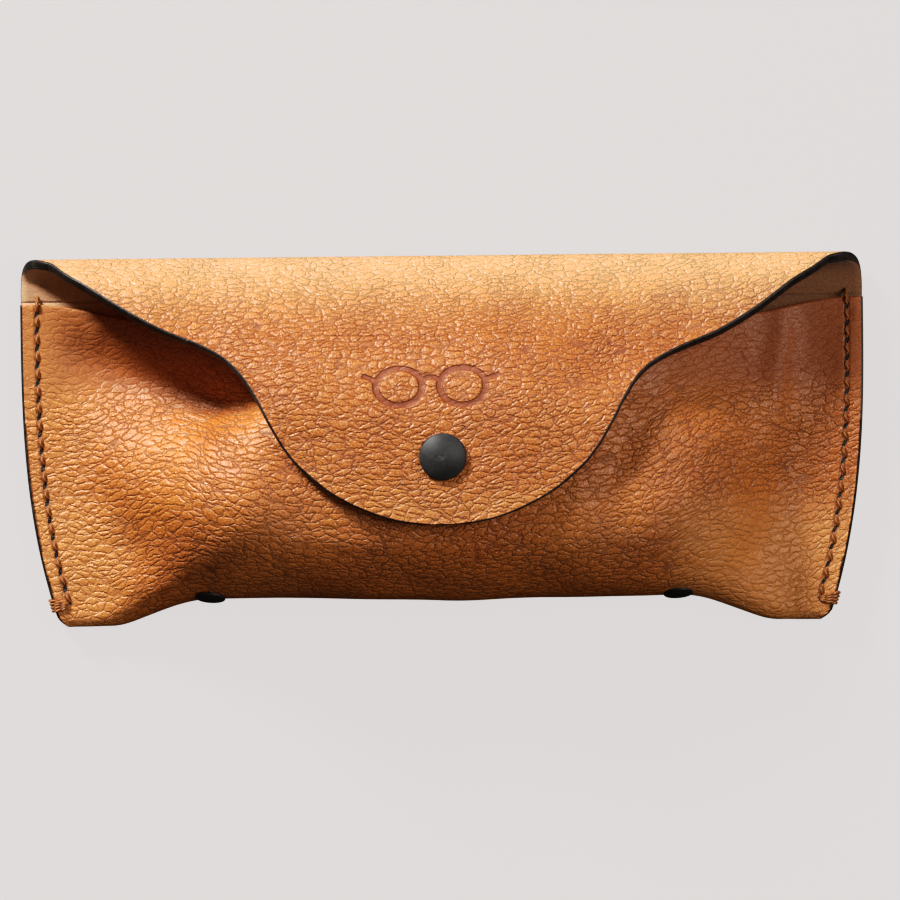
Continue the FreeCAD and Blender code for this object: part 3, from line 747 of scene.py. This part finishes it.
def metal_material(name, colour, dull, metallic, scuff, middle=None):
    """Scuffed metal or lacquer. A cap with a middle is shaded as a dome with a small dent."""
    s = Shader(name)
    wear_marks = s.noise(s.place, 0.9, 4.0, 0.65)
    fine = s.noise(s.place, 6.0, 3.0, 0.6)
    base = s.mix(wear_marks.step(0.45, 0.75) * scuff, colour, tuple(min(1.0, c * 1.8 + 0.02) for c in colour))
    base = s.mix(fine.step(0.66, 0.72) * scuff, base, tuple(min(1.0, c * 4 + 0.05) for c in colour))
    height = fine * 0.5 + wear_marks * 0.5
    if middle:
        x, y, _ = s.parts(s.place)
        x = x - middle[0]
        y = y - middle[1]
        dent = (((x + 0.7) / 1.3).square() + ((y + 0.2) / 0.7).square()).step(0.0, 1.0).invert()
        height = height - dent * 2.0 - (x.square() + y.square()) * 1.25
        base = s.mix(dent * wear_marks.step(0.4, 0.6) * 0.6, base, (0.16, 0.14, 0.14))
    s.set("Metallic", metallic)
    return s.finish(base, wear_marks * 0.22 + dull, height, 0.04)


def thread_material(name):
    """Waxed thread with a twist, darker along the twist's grooves as painted shade."""
    s = Shader(name, "hide")
    x, y, _ = s.parts(s.place)
    twist = ((x * 5.0) + (y * 9.0)).math("SINE")
    fuzz = s.noise(s.place, 3.0, 3.0, 0.6)
    # Painted shade in the grooves of the twist
    colour = s.mix(twist.step(-0.8, 0.6), (0.20, 0.062, 0.015), (0.50, 0.20, 0.060))
    colour = s.mix(fuzz.step(0.5, 0.75) * 0.4, colour, (0.62, 0.30, 0.11))
    return s.finish(colour, 0.62, twist * 0.5 + fuzz * 0.4, 0.12)


# ---------- The flap's path from the back, over the fold, to the tip ----------

FLAT_POINTS = 40


def flap_path():
    """Length along the path, and the y and z of the flap's outer face, from the back join to past the tip."""
    rise = math.radians(RISE_DEG)
    end_y = FOLD_Y + FOLD_R * math.sin(rise)
    end_z = FOLD_R + FOLD_R * math.cos(rise)
    level_y = end_y - 2 * (FLAP_TOP - end_z) / math.tan(rise)
    bend = math.tan(rise) / (2 * (end_y - level_y))
    around = np.linspace(0, math.pi - rise, 160)[1:]
    falling = np.linspace(end_y, level_y, 500)[1:]
    level = np.linspace(level_y, TIP_LEVEL_Y, 100)[1:]
    tip = np.linspace(TIP_LEVEL_Y, TIP_Y - 3, 120)[1:]
    y = np.concatenate([
        np.linspace(JOIN_BACK_Y, FOLD_Y, FLAT_POINTS), FOLD_Y + FOLD_R * np.sin(around), falling, level, tip])
    z = np.concatenate([
        np.zeros(FLAT_POINTS), FOLD_R - FOLD_R * np.cos(around), FLAP_TOP - bend * (falling - level_y) ** 2,
        np.full(len(level), FLAP_TOP), FLAP_TOP - TIP_DROOP * (tip - TIP_LEVEL_Y) ** 2])
    run = np.concatenate([[0], np.cumsum(np.hypot(np.diff(y), np.diff(z)))])
    return run, y, z


path_p, path_y, path_z = flap_path()
crest = int(np.argmax(path_y))


def p_at_y(y):
    """Place along the path at height y on the front, past the crest."""
    return float(np.interp(-y, -path_y[crest:], path_p[crest:]))


def p_behind(y):
    """Place along the path at height y on the back, before the crest."""
    return float(np.interp(y, path_y[:crest], path_p[:crest]))


CREST_P = float(path_p[crest])
FOLD_P = float(path_p[FLAT_POINTS - 1])
# Places along the flap for its tones: the paler fold (partly painted highlight), the painted shade below it and
# the painted light towards the tip
FOLD_TONES = (p_behind(34.0), p_at_y(38.5), p_at_y(38.4), p_at_y(20.0), p_at_y(-6.0), p_at_y(-15.0))

hide = hide_material("tan_hide", seam=True)
flap_face = hide_material("tan_hide_flap", fold=FOLD_TONES)
tongue_face = hide_material("tan_hide_tongue", mark=True, fold=FOLD_TONES)
suede = suede_material("brown_suede", (0.31, 0.15, 0.075), (0.54, 0.31, 0.18))
board = suede_material("leather_board", (0.16, 0.10, 0.06), (0.30, 0.20, 0.13))
edge_paint = paint_material("edge_paint")
waxed_thread = thread_material("waxed_thread")
black = metal_material("black_cap", (0.028, 0.028, 0.030), 0.38, 0.0, 0.3)
cap_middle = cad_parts["snap_cap"].matrix_world.inverted() @ Vector((SNAP_X * MM, SNAP_Y * MM, 0.0))
black_dome = metal_material(
    "black_snap", (0.040, 0.040, 0.042), 0.42, 0.0, 0.35, (cap_middle.x / MM, cap_middle.y / MM))
steel = metal_material("plated_steel", (0.48, 0.46, 0.42), 0.28, 1.0, 0.2)

# ---------- Pouch ----------


def columns_across(wide, narrow, first, last):
    """Places from side to side: wide steps in the middle, narrow ones from first out to last before the side."""
    half = np.concatenate([np.arange(wide / 2, 80.0, wide), np.arange(first, HALF - last, narrow), [HALF]])
    return np.concatenate([-half[::-1], [0.0], half])


pouch_columns = columns_across(1.1, 0.5, 80.2, 0.3)
skin, skin_normal, skin_run = pouch_grid(178, pouch_columns)
rings, pattern, spread = sheet_rings(skin, skin_normal, skin_run, LEATHER)
at_x = spread(skin[..., 0])
at_y = spread(skin[..., 1])
front_side = spread(skin_normal[..., 2]) > 0.1
# Smoother grain under the flap's edge, and painted shade there too, more to the right
smooth_and_shaded_under_flap = (0.65 + 0.2 * ease((at_x - 50.0) / 20.0)) * ease((at_y - 4.0) / 12.0)
# Painted light: paler on the ears, down the left side, the lower right and either side of the belly below the
# tongue
painted_light = (
    0.9 * ease((-at_x - 60.0) / 16.0) * ease((-6.0 - at_y) / 18.0)
    + 0.7 * ease((-at_x - 68.0) / 20.0) * ease((at_y + 24.0) / 10.0)
    + 1.1 * ease((at_x - 42.0) / 14.0) * ease((-8.0 - at_y) / 14.0)
    + 0.35 * bell(at_x + 34.0, 12.0) * bell(at_y + 20.0, 8.0)
    + 0.35 * bell(at_x - 33.0, 12.0) * bell(at_y + 20.0, 8.0)
)
stain = ease(1.7 - np.hypot(at_x + 80.7, (at_y + 29.9) * 0.8))
pouch_hide = sheet_piece(
    "pouch_hide", rings, pattern, len(pouch_columns), len(LEATHER.rim), [hide, edge_paint, suede], {
        "seam_d": (half_width(at_y) - np.abs(at_x) - STITCH_IN) * np.sign(at_x),
        "seam_q": (STITCH_TOP_Y - at_y) / STITCH_PITCH + 0.5,
        "plain": smooth_and_shaded_under_flap * front_side,
        "stain": stain * front_side,
        "painted_light": painted_light * front_side,
    })
stand_for("pouch_leather")

lining_columns = columns_across(1.8, 0.9, 80.6, 0.5)
rings, pattern, _ = sheet_rings(*pouch_grid(120, lining_columns), SUEDE)
pouch_suede = sheet_piece(
    "pouch_suede", rings, pattern, len(lining_columns), len(SUEDE.rim), [suede, edge_paint, suede])
stand_for("pouch_lining")

rings, pattern, _ = sheet_rings(*board_grid(), BOARD)
base_board = sheet_piece("base_board", rings, pattern, BOARD_COLUMNS, len(BOARD.rim), [board, board, board])
stand_for("base_insert")

for piece in (pouch_hide, pouch_suede, base_board):
    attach(piece, "pouch")

# ---------- Flap and tongue ----------

# Half width of the flap: (x, degrees round the fold), then (x, y) down to the tip
FOLD_SIDE = ((88.9, 35.0), (88.0, 62.0), (86.3, 90.0), (84.3, 112.0), (82.0, 128.0))
FLAP_SIDE = (
    (78.6, 35.5), (71.8, 31.5), (65.6, 28.1), (57.5, 24.0), (50.2, 20.7), (45.0, 17.6), (41.2, 13.6),
    (38.2, 8.6), (35.4, 2.9), (32.2, -2.4), (28.2, -6.8), (20.9, -12.4), (10.6, -16.7), (0.0, TIP_Y),
)
OUTLINE_ROWS = 230


def smooth_curve(points, count):
    """Even samples along a Catmull-Rom curve through points, mirrored past the last one."""
    mirror = points[-2] * np.array([-1.0, 1.0])
    knots = np.vstack([2 * points[0] - points[1], points, mirror])
    t = np.linspace(0, 1, 60, endpoint=False)[:, None]
    spans = []
    for i in range(1, len(knots) - 2):
        p0, p1, p2, p3 = knots[i - 1:i + 3]
        spans.append(0.5 * (2 * p1 + (p2 - p0) * t + (2 * p0 - 5 * p1 + 4 * p2 - p3) * t ** 2
                            + (3 * p1 - p0 - 3 * p2 + p3) * t ** 3))
    curve = np.vstack(spans + [points[-1:]])
    run = np.concatenate([[0], np.cumsum(np.hypot(*np.diff(curve, axis=0).T))])
    at = np.linspace(0, run[-1], count)
    return np.interp(at, run, curve[:, 0]), np.interp(at, run, curve[:, 1])


side_points = [(HALF, p_behind(JOIN_BACK_Y)), (HALF, p_behind(JOIN_BACK_Y + 3.0))]
side_points += [(x, FOLD_P + FOLD_R * math.radians(a)) for x, a in FOLD_SIDE]
side_points += [(x, p_at_y(y)) for x, y in FLAP_SIDE]
outline_x, outline_p = smooth_curve(np.array(side_points), OUTLINE_ROWS)
TIP_P = outline_p[-1]


def flap_place(x, p, depth):
    """Point of the flap at pattern place (x, p) and depth under its outer face."""
    y = np.interp(p, path_p, path_y)
    z = np.interp(p, path_p, path_z)
    step = 0.05
    ty = np.interp(p + step, path_p, path_y) - np.interp(p - step, path_p, path_y)
    tz = np.interp(p + step, path_p, path_z) - np.interp(p - step, path_p, path_z)
    long = np.hypot(ty, tz)
    to_edge = np.minimum(np.interp(p, outline_p, outline_x) - np.abs(x), (TIP_P - p) * 1.25)
    from_snap = np.hypot(x, p - p_at_y(SNAP_Y))
    right = ease((x + 10.0) / 40.0)
    tongue = ease((p - p_at_y(20.0)) / 14.0)
    hang = EDGE_HANG + (RIGHT_HANG - TONGUE_HOLD * tongue) * right
    hang = hang * ease(1.0 - to_edge / (HANG_REACH + RIGHT_REACH * right)) + SIDE_HANG * x * x
    droop = -hang * ease((p - p_at_y(34.0)) / 14.0) * ease((from_snap - 5.0) / 9.0)
    slow = FLAP_SLOW_WAVE * wander(x, p, 38.0) + FLAP_QUICK_WAVE * wander(x + 11, p, 15.0)
    slow = slow * ease((p - FOLD_P - 6) / 12.0) * ease((from_snap - 5.5) / 7.0)
    raised = WING_RISE * ease((-x - WING_FROM) / 18.0) * ease((p - CREST_P - 0.5) / 9.0)
    level = TIP_DROOP * np.clip(TIP_LEVEL_Y - y, 0, None) ** 2
    lift = droop + slow - depth
    shift = FLAP_SHIFT * ease((p - FOLD_P) / 15.0)
    return np.stack([x + shift, y + tz / long * lift, z - ty / long * lift + level + raised], axis=-1)


def flap_rings(p_from, p_to, columns, layer):
    """Pattern places and depths of the rings round one layer of the flap, between two places along the path."""
    keep = (outline_p > p_from + 0.15) & (outline_p < p_to - 0.15)
    p = np.concatenate([[p_from], outline_p[keep], [p_to]])
    width = np.interp(p, outline_p, outline_x)
    tx = np.interp(p, outline_p, np.gradient(outline_x))
    tp = np.interp(p, outline_p, np.gradient(outline_p))
    long = np.hypot(tx, tp)
    out_x, out_p = tp / long, -tx / long
    if p_to == TIP_P:
        out_x[-1], out_p[-1] = 0.0, 1.0
    if p_from == 0.0:
        out_x[0], out_p[0] = 1.0, 0.0
    u = np.linspace(-1, 1, columns)[None, :]

    def side(out, depth):
        x = u * np.clip(width + out * out_x, 0, None)[:, None]
        weight = 1 - (1 - u ** 2) * np.clip(width / 6.0, 0, 1)[:, None]
        return x, p[:, None] + (out * out_p)[:, None] * weight, np.full_like(x, depth)

    def rim(sign, steps):
        x = np.stack([sign * np.clip(width + out * out_x, 0, None) for out, _ in steps], axis=1)
        along = np.stack([p + out * out_p for out, _ in steps], axis=1)
        share = np.array([share for _, share in steps])
        return x, along, layer.top + (layer.bottom - layer.top) * share + np.zeros_like(x)

    inner = tuple(values[:, ::-1] for values in side(layer.rim[-1][0], layer.bottom))
    loop = (side(layer.rim_in, layer.top), rim(1, layer.rim), inner, rim(-1, layer.rim[::-1]))
    return [np.concatenate(values, axis=1) for values in zip(*loop)]


# A small pair of spectacles pressed into the tongue
MARK_X = -2.0
MARK_P = p_at_y(11.2)
MARK_SINK = 0.22
LENS_X = 6.6
LENS_R = 4.4
LENS_LINE = 0.62
ARM_X = 11.2
ARM_LENGTH = 2.6
ARM_LINE = 0.55
BRIDGE_R = 2.4
BRIDGE_LINE = 0.5


def mark_distance(x, p):
    """Distance to the strokes of the mark, below 0 inside them."""
    x = x - MARK_X
    y = MARK_P - p
    bridge = np.abs(np.hypot(x, y + 0.4) - BRIDGE_R) - BRIDGE_LINE
    best = np.where(y > 0.6, bridge, np.maximum(bridge, 0.6 - y))
    for side in (-1, 1):
        lens = np.hypot((x - side * LENS_X) * 0.92, y * 1.08)
        best = np.minimum(best, np.abs(lens - LENS_R) - LENS_LINE)
        out = (x - side * ARM_X) * side
        along = np.clip(out, 0, ARM_LENGTH)
        best = np.minimum(best, np.hypot(out - along, y - 1.2 - along * 0.45) - ARM_LINE)
    return best


def flap_piece(name, p_from, p_to, columns, layer, face, mark=False):
    x, p, depth = flap_rings(p_from, p_to, columns, layer)
    rings = flap_place(x, p, depth)
    pattern = np.stack([x, p, np.zeros_like(x)], axis=-1)
    extras = {}
    if mark:
        extras["mark"] = mark_distance(x, p)
        sink = MARK_SINK * ease((0.35 - extras["mark"]) / 0.6)
        sink[:, columns:] = 0.0
        through = flap_place(x, p, np.zeros_like(x)) - flap_place(x, p, np.ones_like(x))
        rings = rings - through * sink[..., None]
    materials = [face, edge_paint, suede]
    return sheet_piece(name, rings, pattern, columns, len(layer.rim), materials, extras, tip=p_to == TIP_P)


JOIN_TONGUE_P = p_at_y(JOIN_TONGUE_Y)
flap_hide = flap_piece("flap_hide", 0.0, JOIN_TONGUE_P, 181, LEATHER, flap_face)
flap_suede = flap_piece("flap_suede", 0.0, JOIN_TONGUE_P, 121, SUEDE, suede)
tongue_hide = flap_piece("tongue_hide", JOIN_TONGUE_P, TIP_P, 221, LEATHER, tongue_face, mark=True)
tongue_suede = flap_piece("tongue_suede", JOIN_TONGUE_P, TIP_P, 101, SUEDE, suede)
stand_for("flap_leather")
stand_for("flap_lining")
stand_for("tongue_leather")
stand_for("tongue_lining")


def bend_between(piece):
    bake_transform(piece)


for piece in (flap_hide, flap_suede):
    bend_between(piece)
for piece in (tongue_hide, tongue_suede):
    bend_between(piece)

# ---------- Stitches ----------

STITCH_RADII = (0.24, 0.34, 0.38, 0.39, 0.38, 0.34, 0.24)
STITCH_PROUD = 0.12
STITCH_SAG = 3.72
STITCH_LEAN = 0.14
MOUTH_RADII = (0.3, 0.36, 0.38, 0.38, 0.38, 0.36, 0.28)
WRAPS = 4
WRAP_PITCH = 0.72
WRAP_ABOVE = 1.15
WRAP_RADIUS = 0.36
TUBE_SIDES = 8


def skin_at(x, y, front):
    """Point above (x, y) on the pouch's outer face, front or back, and the normal there."""
    points = skin.reshape(-1, 3)
    normals = skin_normal.reshape(-1, 3)
    facing = normals[:, 2] > 0.3 if front else normals[:, 2] < -0.3
    distance = (points[:, 0] - x) ** 2 + (points[:, 1] - y) ** 2 + np.where(facing, 0, 1e6)
    near = np.argsort(distance)[:4]
    weight = 1.0 / (distance[near] + 0.01)
    weight /= weight.sum()
    n = (normals[near] * weight[:, None]).sum(0)
    return np.array([x, y, points[near, 2] @ weight]), n / np.linalg.norm(n)


def tube(points, radius):
    """Round tube with flat ends along points; radius is one number or one for each point."""
    points = np.array(points, float)
    radius = np.broadcast_to(radius, len(points))
    direction = unit(np.gradient(points, axis=0))
    run = np.concatenate([[0], np.cumsum(np.linalg.norm(np.diff(points, axis=0), axis=1))])
    verts, faces, pattern = [], [], []
    for i, (point, t) in enumerate(zip(points, direction)):
        a = np.cross(t, [0.0, 0.3, 1.0])
        if np.linalg.norm(a) < 0.2:
            a = np.cross(t, [1.0, 0.0, 0.0])
        a /= np.linalg.norm(a)
        b = np.cross(t, a)
        for j in range(TUBE_SIDES):
            angle = 2 * math.pi * j / TUBE_SIDES
            verts.append(point + (a * math.cos(angle) + b * math.sin(angle)) * radius[i])
            pattern.append((run[i], angle * 0.3, 0.0))
    last = (len(points) - 1) * TUBE_SIDES
    for start in range(0, last, TUBE_SIDES):
        for j in range(TUBE_SIDES):
            k = (j + 1) % TUBE_SIDES
            faces.append([start + j, start + k, start + TUBE_SIDES + k, start + TUBE_SIDES + j])
    faces.append(list(range(TUBE_SIDES))[::-1])
    faces.append([last + j for j in range(TUBE_SIDES)])
    return verts, faces, pattern


def lift_at(x, y):
    return float(edge_lift(np.array(x), np.array(y)))


def plain_stitch(start, end, side, front):
    """One stitch between two holes, lying in the groove and leaning a little outwards."""
    (x0, y0), (x1, y1) = start, end
    points = []
    for t in np.linspace(0.13, 0.87, len(STITCH_RADII)):
        lean = side * STITCH_LEAN * math.sin((t - 0.5) * 6.0)
        point, n = skin_at(x0 + (x1 - x0) * t + lean, y0 + (y1 - y0) * t, front)
        points.append(point + n * (STITCH_PROUD - STITCH_SAG * (t - 0.5) ** 2))
    return points


def mouth_stitch(start, end, side):
    """The first stitch, which comes up over the mouth's corner."""
    (x0, y0), (x1, y1) = start, end
    lift = lift_at(x0, y0)
    return [
        (x0, y0 + 0.1, 1.1 + lift), (x0, y0 - 0.2, 2.3 + lift), (x0 - side * 0.1, y0 - 0.9, 3.6 + lift),
        (x0 - side * 0.15, 29.9, 4.45 + lift), (x0 - side * 0.1, 29.0, 4.62 + lift),
        (x0, y1 + 0.7, 4.3 + lift), (x1, y1 + 0.25, 3.7 + lift),
    ]


def wrap_stitch(hole, y1, side):
    """A strand from the last hole over the front, round the side edge at height y1, and back behind."""
    x0, y0 = hole
    out = side * float(half_width(np.array(y1)))
    lift = lift_at(out, y1)
    top = skin_at(x0, y0, True)[0][2]
    points = [(x0, y0, top - 0.5), (x0 + side * 0.5, y0 + (y1 - y0) * 0.3, top + 0.12)]
    for t in (0.35, 0.7, 0.92):
        points.append((x0 + (out - x0) * t, y0 + (y1 - y0) * (0.3 + 0.7 * t), SEAM_Z + lift + 0.22))
    for degrees in (60, 20, -20, -60):
        a = math.radians(degrees)
        z = SEAM_Z / 2 + lift + (SEAM_Z / 2 + 0.1) * math.sin(a)
        points.append((out + side * (0.1 + 0.45 * math.cos(a)), y1, z))
    for t in (0.92, 0.6, 0.2):
        points.append((x0 + (out - x0) * t, y0 + (y1 - y0) * t, max(0.2, lift - 0.02)))
    return points


def stitch_piece(name, side):
    """All the thread of one seam: both faces' stitches, the mouth's corner and the wraps at the lower end."""
    heights = [STITCH_TOP_Y - STITCH_PITCH * i for i in range(STITCHES)]
    holes = [(side * (float(half_width(np.array(y))) - STITCH_IN), y) for y in heights]
    strands = [(plain_stitch(holes[i], holes[i + 1], side, True), STITCH_RADII) for i in range(1, STITCHES - 1)]
    strands += [(plain_stitch(holes[i], holes[i + 1], side, False), STITCH_RADII) for i in range(STITCHES - 1)]
    strands.append((mouth_stitch(holes[0], holes[1], side), MOUTH_RADII))
    last = holes[-1]
    for wrap in range(WRAPS):
        strands.append((wrap_stitch(last, last[1] + WRAP_ABOVE - WRAP_PITCH * wrap, side), WRAP_RADIUS))
    verts, faces, pattern = [], [], []
    for points, radius in strands:
        tube_verts, tube_faces, tube_pattern = tube(points, radius)
        faces += [[index + len(verts) for index in face] for face in tube_faces]
        verts += tube_verts
        pattern += tube_pattern
    return add_mesh(name, verts, faces, pattern, [waxed_thread])


for side, word in ((-1, "left"), (1, "right")):
    thread = stitch_piece(word + "_seam_stitches", side)
    stand_for(word + "_seam_thread")
    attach(thread, "pouch")

# ---------- CAD pieces that stay ----------

for node, material in (
    ("snap_cap", black_dome), ("left_base_rivet_cap", black), ("right_base_rivet_cap", black),
    ("snap_socket", steel), ("snap_spring_left_leg", steel), ("snap_spring_right_leg", steel),
    ("snap_stud", steel), ("snap_stud_post", steel), ("left_base_rivet_back", steel),
    ("right_base_rivet_back", steel),
):
    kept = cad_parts[node].data
    kept.materials.clear()
    kept.materials.append(material)

# ---------- Floor, light and camera ----------

PALE = (0.745, 0.716, 0.708)
FLOOR_HALF = 4.0
FLOOR_Z = -0.0003


def pale_surface(tree, output, seen, felt):
    """Pale to the camera, dimmer as a light on the object."""
    path = tree.nodes.new("ShaderNodeLightPath")
    mix = tree.nodes.new("ShaderNodeMixShader")
    tree.links.new(path.outputs["Is Camera Ray"], mix.inputs[0])
    tree.links.new(felt, mix.inputs[1])
    tree.links.new(seen, mix.inputs[2])
    tree.links.new(mix.outputs[0], output)


def colour_node(tree, kind, colour, strength=None):
    node = tree.nodes.new(kind)
    node.inputs[0].default_value = (*colour, 1)
    if strength is not None:
        node.inputs[1].default_value = strength
    return node.outputs[0]


def add_floor():
    mesh = bpy.data.meshes.new("floor")
    corners = [(x * FLOOR_HALF, y * FLOOR_HALF, FLOOR_Z) for x, y in ((-1, -1), (1, -1), (1, 1), (-1, 1))]
    mesh.from_pydata(corners, [], [(0, 1, 2, 3)])
    floor = bpy.data.objects.new("floor", mesh)
    bpy.context.scene.collection.objects.link(floor)
    material = bpy.data.materials.new("pale_floor")
    material.use_nodes = True
    tree = material.node_tree
    tree.nodes.clear()
    out = tree.nodes.new("ShaderNodeOutputMaterial")
    seen = tree.nodes.new("ShaderNodeAddShader")
    tree.links.new(colour_node(tree, "ShaderNodeEmission", PALE, 1.02), seen.inputs[0])
    tree.links.new(colour_node(tree, "ShaderNodeBsdfDiffuse", (0.05, 0.05, 0.05)), seen.inputs[1])
    felt = colour_node(tree, "ShaderNodeBsdfDiffuse", (0.08, 0.07, 0.06))
    pale_surface(tree, out.inputs[0], seen.outputs[0], felt)
    mesh.materials.append(material)


def add_world():
    world = bpy.data.worlds.new("studio")
    bpy.context.scene.world = world
    world.use_nodes = True
    tree = world.node_tree
    tree.nodes.clear()
    out = tree.nodes.new("ShaderNodeOutputWorld")
    seen = colour_node(tree, "ShaderNodeBackground", PALE)
    felt = colour_node(tree, "ShaderNodeBackground", (1.0, 0.86, 0.72), 0.12)
    pale_surface(tree, out.inputs[0], seen, felt)


def add_lamp(name, direction, size, power):
    """Round soft lamp 1.6 m away, turned to the pouch."""
    light = bpy.data.lights.new(name, "AREA")
    light.shape = "DISK"
    light.size = size
    light.energy = power
    light.color = (1.0, 0.97, 0.93)
    lamp = bpy.data.objects.new(name, light)
    lamp.location = Vector(direction).normalized() * 1.6
    lamp.rotation_mode = "QUATERNION"
    lamp.rotation_quaternion = (Vector((0, 0, 0.01)) - lamp.location).to_track_quat("-Z", "Y")
    bpy.context.scene.collection.objects.link(lamp)


add_floor()
add_world()
add_lamp("key", (-0.55, 0.71, 0.36), 0.34, 42.0)
add_lamp("fill", (0.62, 0.16, 0.72), 0.9, 11.5)

# The camera looks straight down on the front from far off
VIEW_WIDTH = 190.7
VIEW_LEVEL = 3.0
DISTANCE = 1100.0
SENSOR = 36.0
camera_data = bpy.data.cameras.new("camera")
camera_data.sensor_width = SENSOR
camera_data.lens = SENSOR * (DISTANCE - VIEW_LEVEL) / VIEW_WIDTH
camera_data.clip_end = 20
camera = bpy.data.objects.new("camera", camera_data)
camera.location = (1.48 * MM, -2.12 * MM, DISTANCE * MM)
camera.rotation_euler = (0, 0, -0.0105)
bpy.context.scene.collection.objects.link(camera)
bpy.context.scene.camera = camera

# Tone curve: deeper shadows and softer highlights
view = bpy.context.scene.view_settings
view.view_transform = "Standard"
view.use_curve_mapping = True
curves = view.curve_mapping
curves.use_clip = False
curves.extend = "EXTRAPOLATED"
for point in ((0.02, 0.008), (0.08, 0.052), (0.22, 0.20), (0.50, 0.52), (0.85, 0.78)):
    curves.curves[3].points.new(*point)
curves.update()
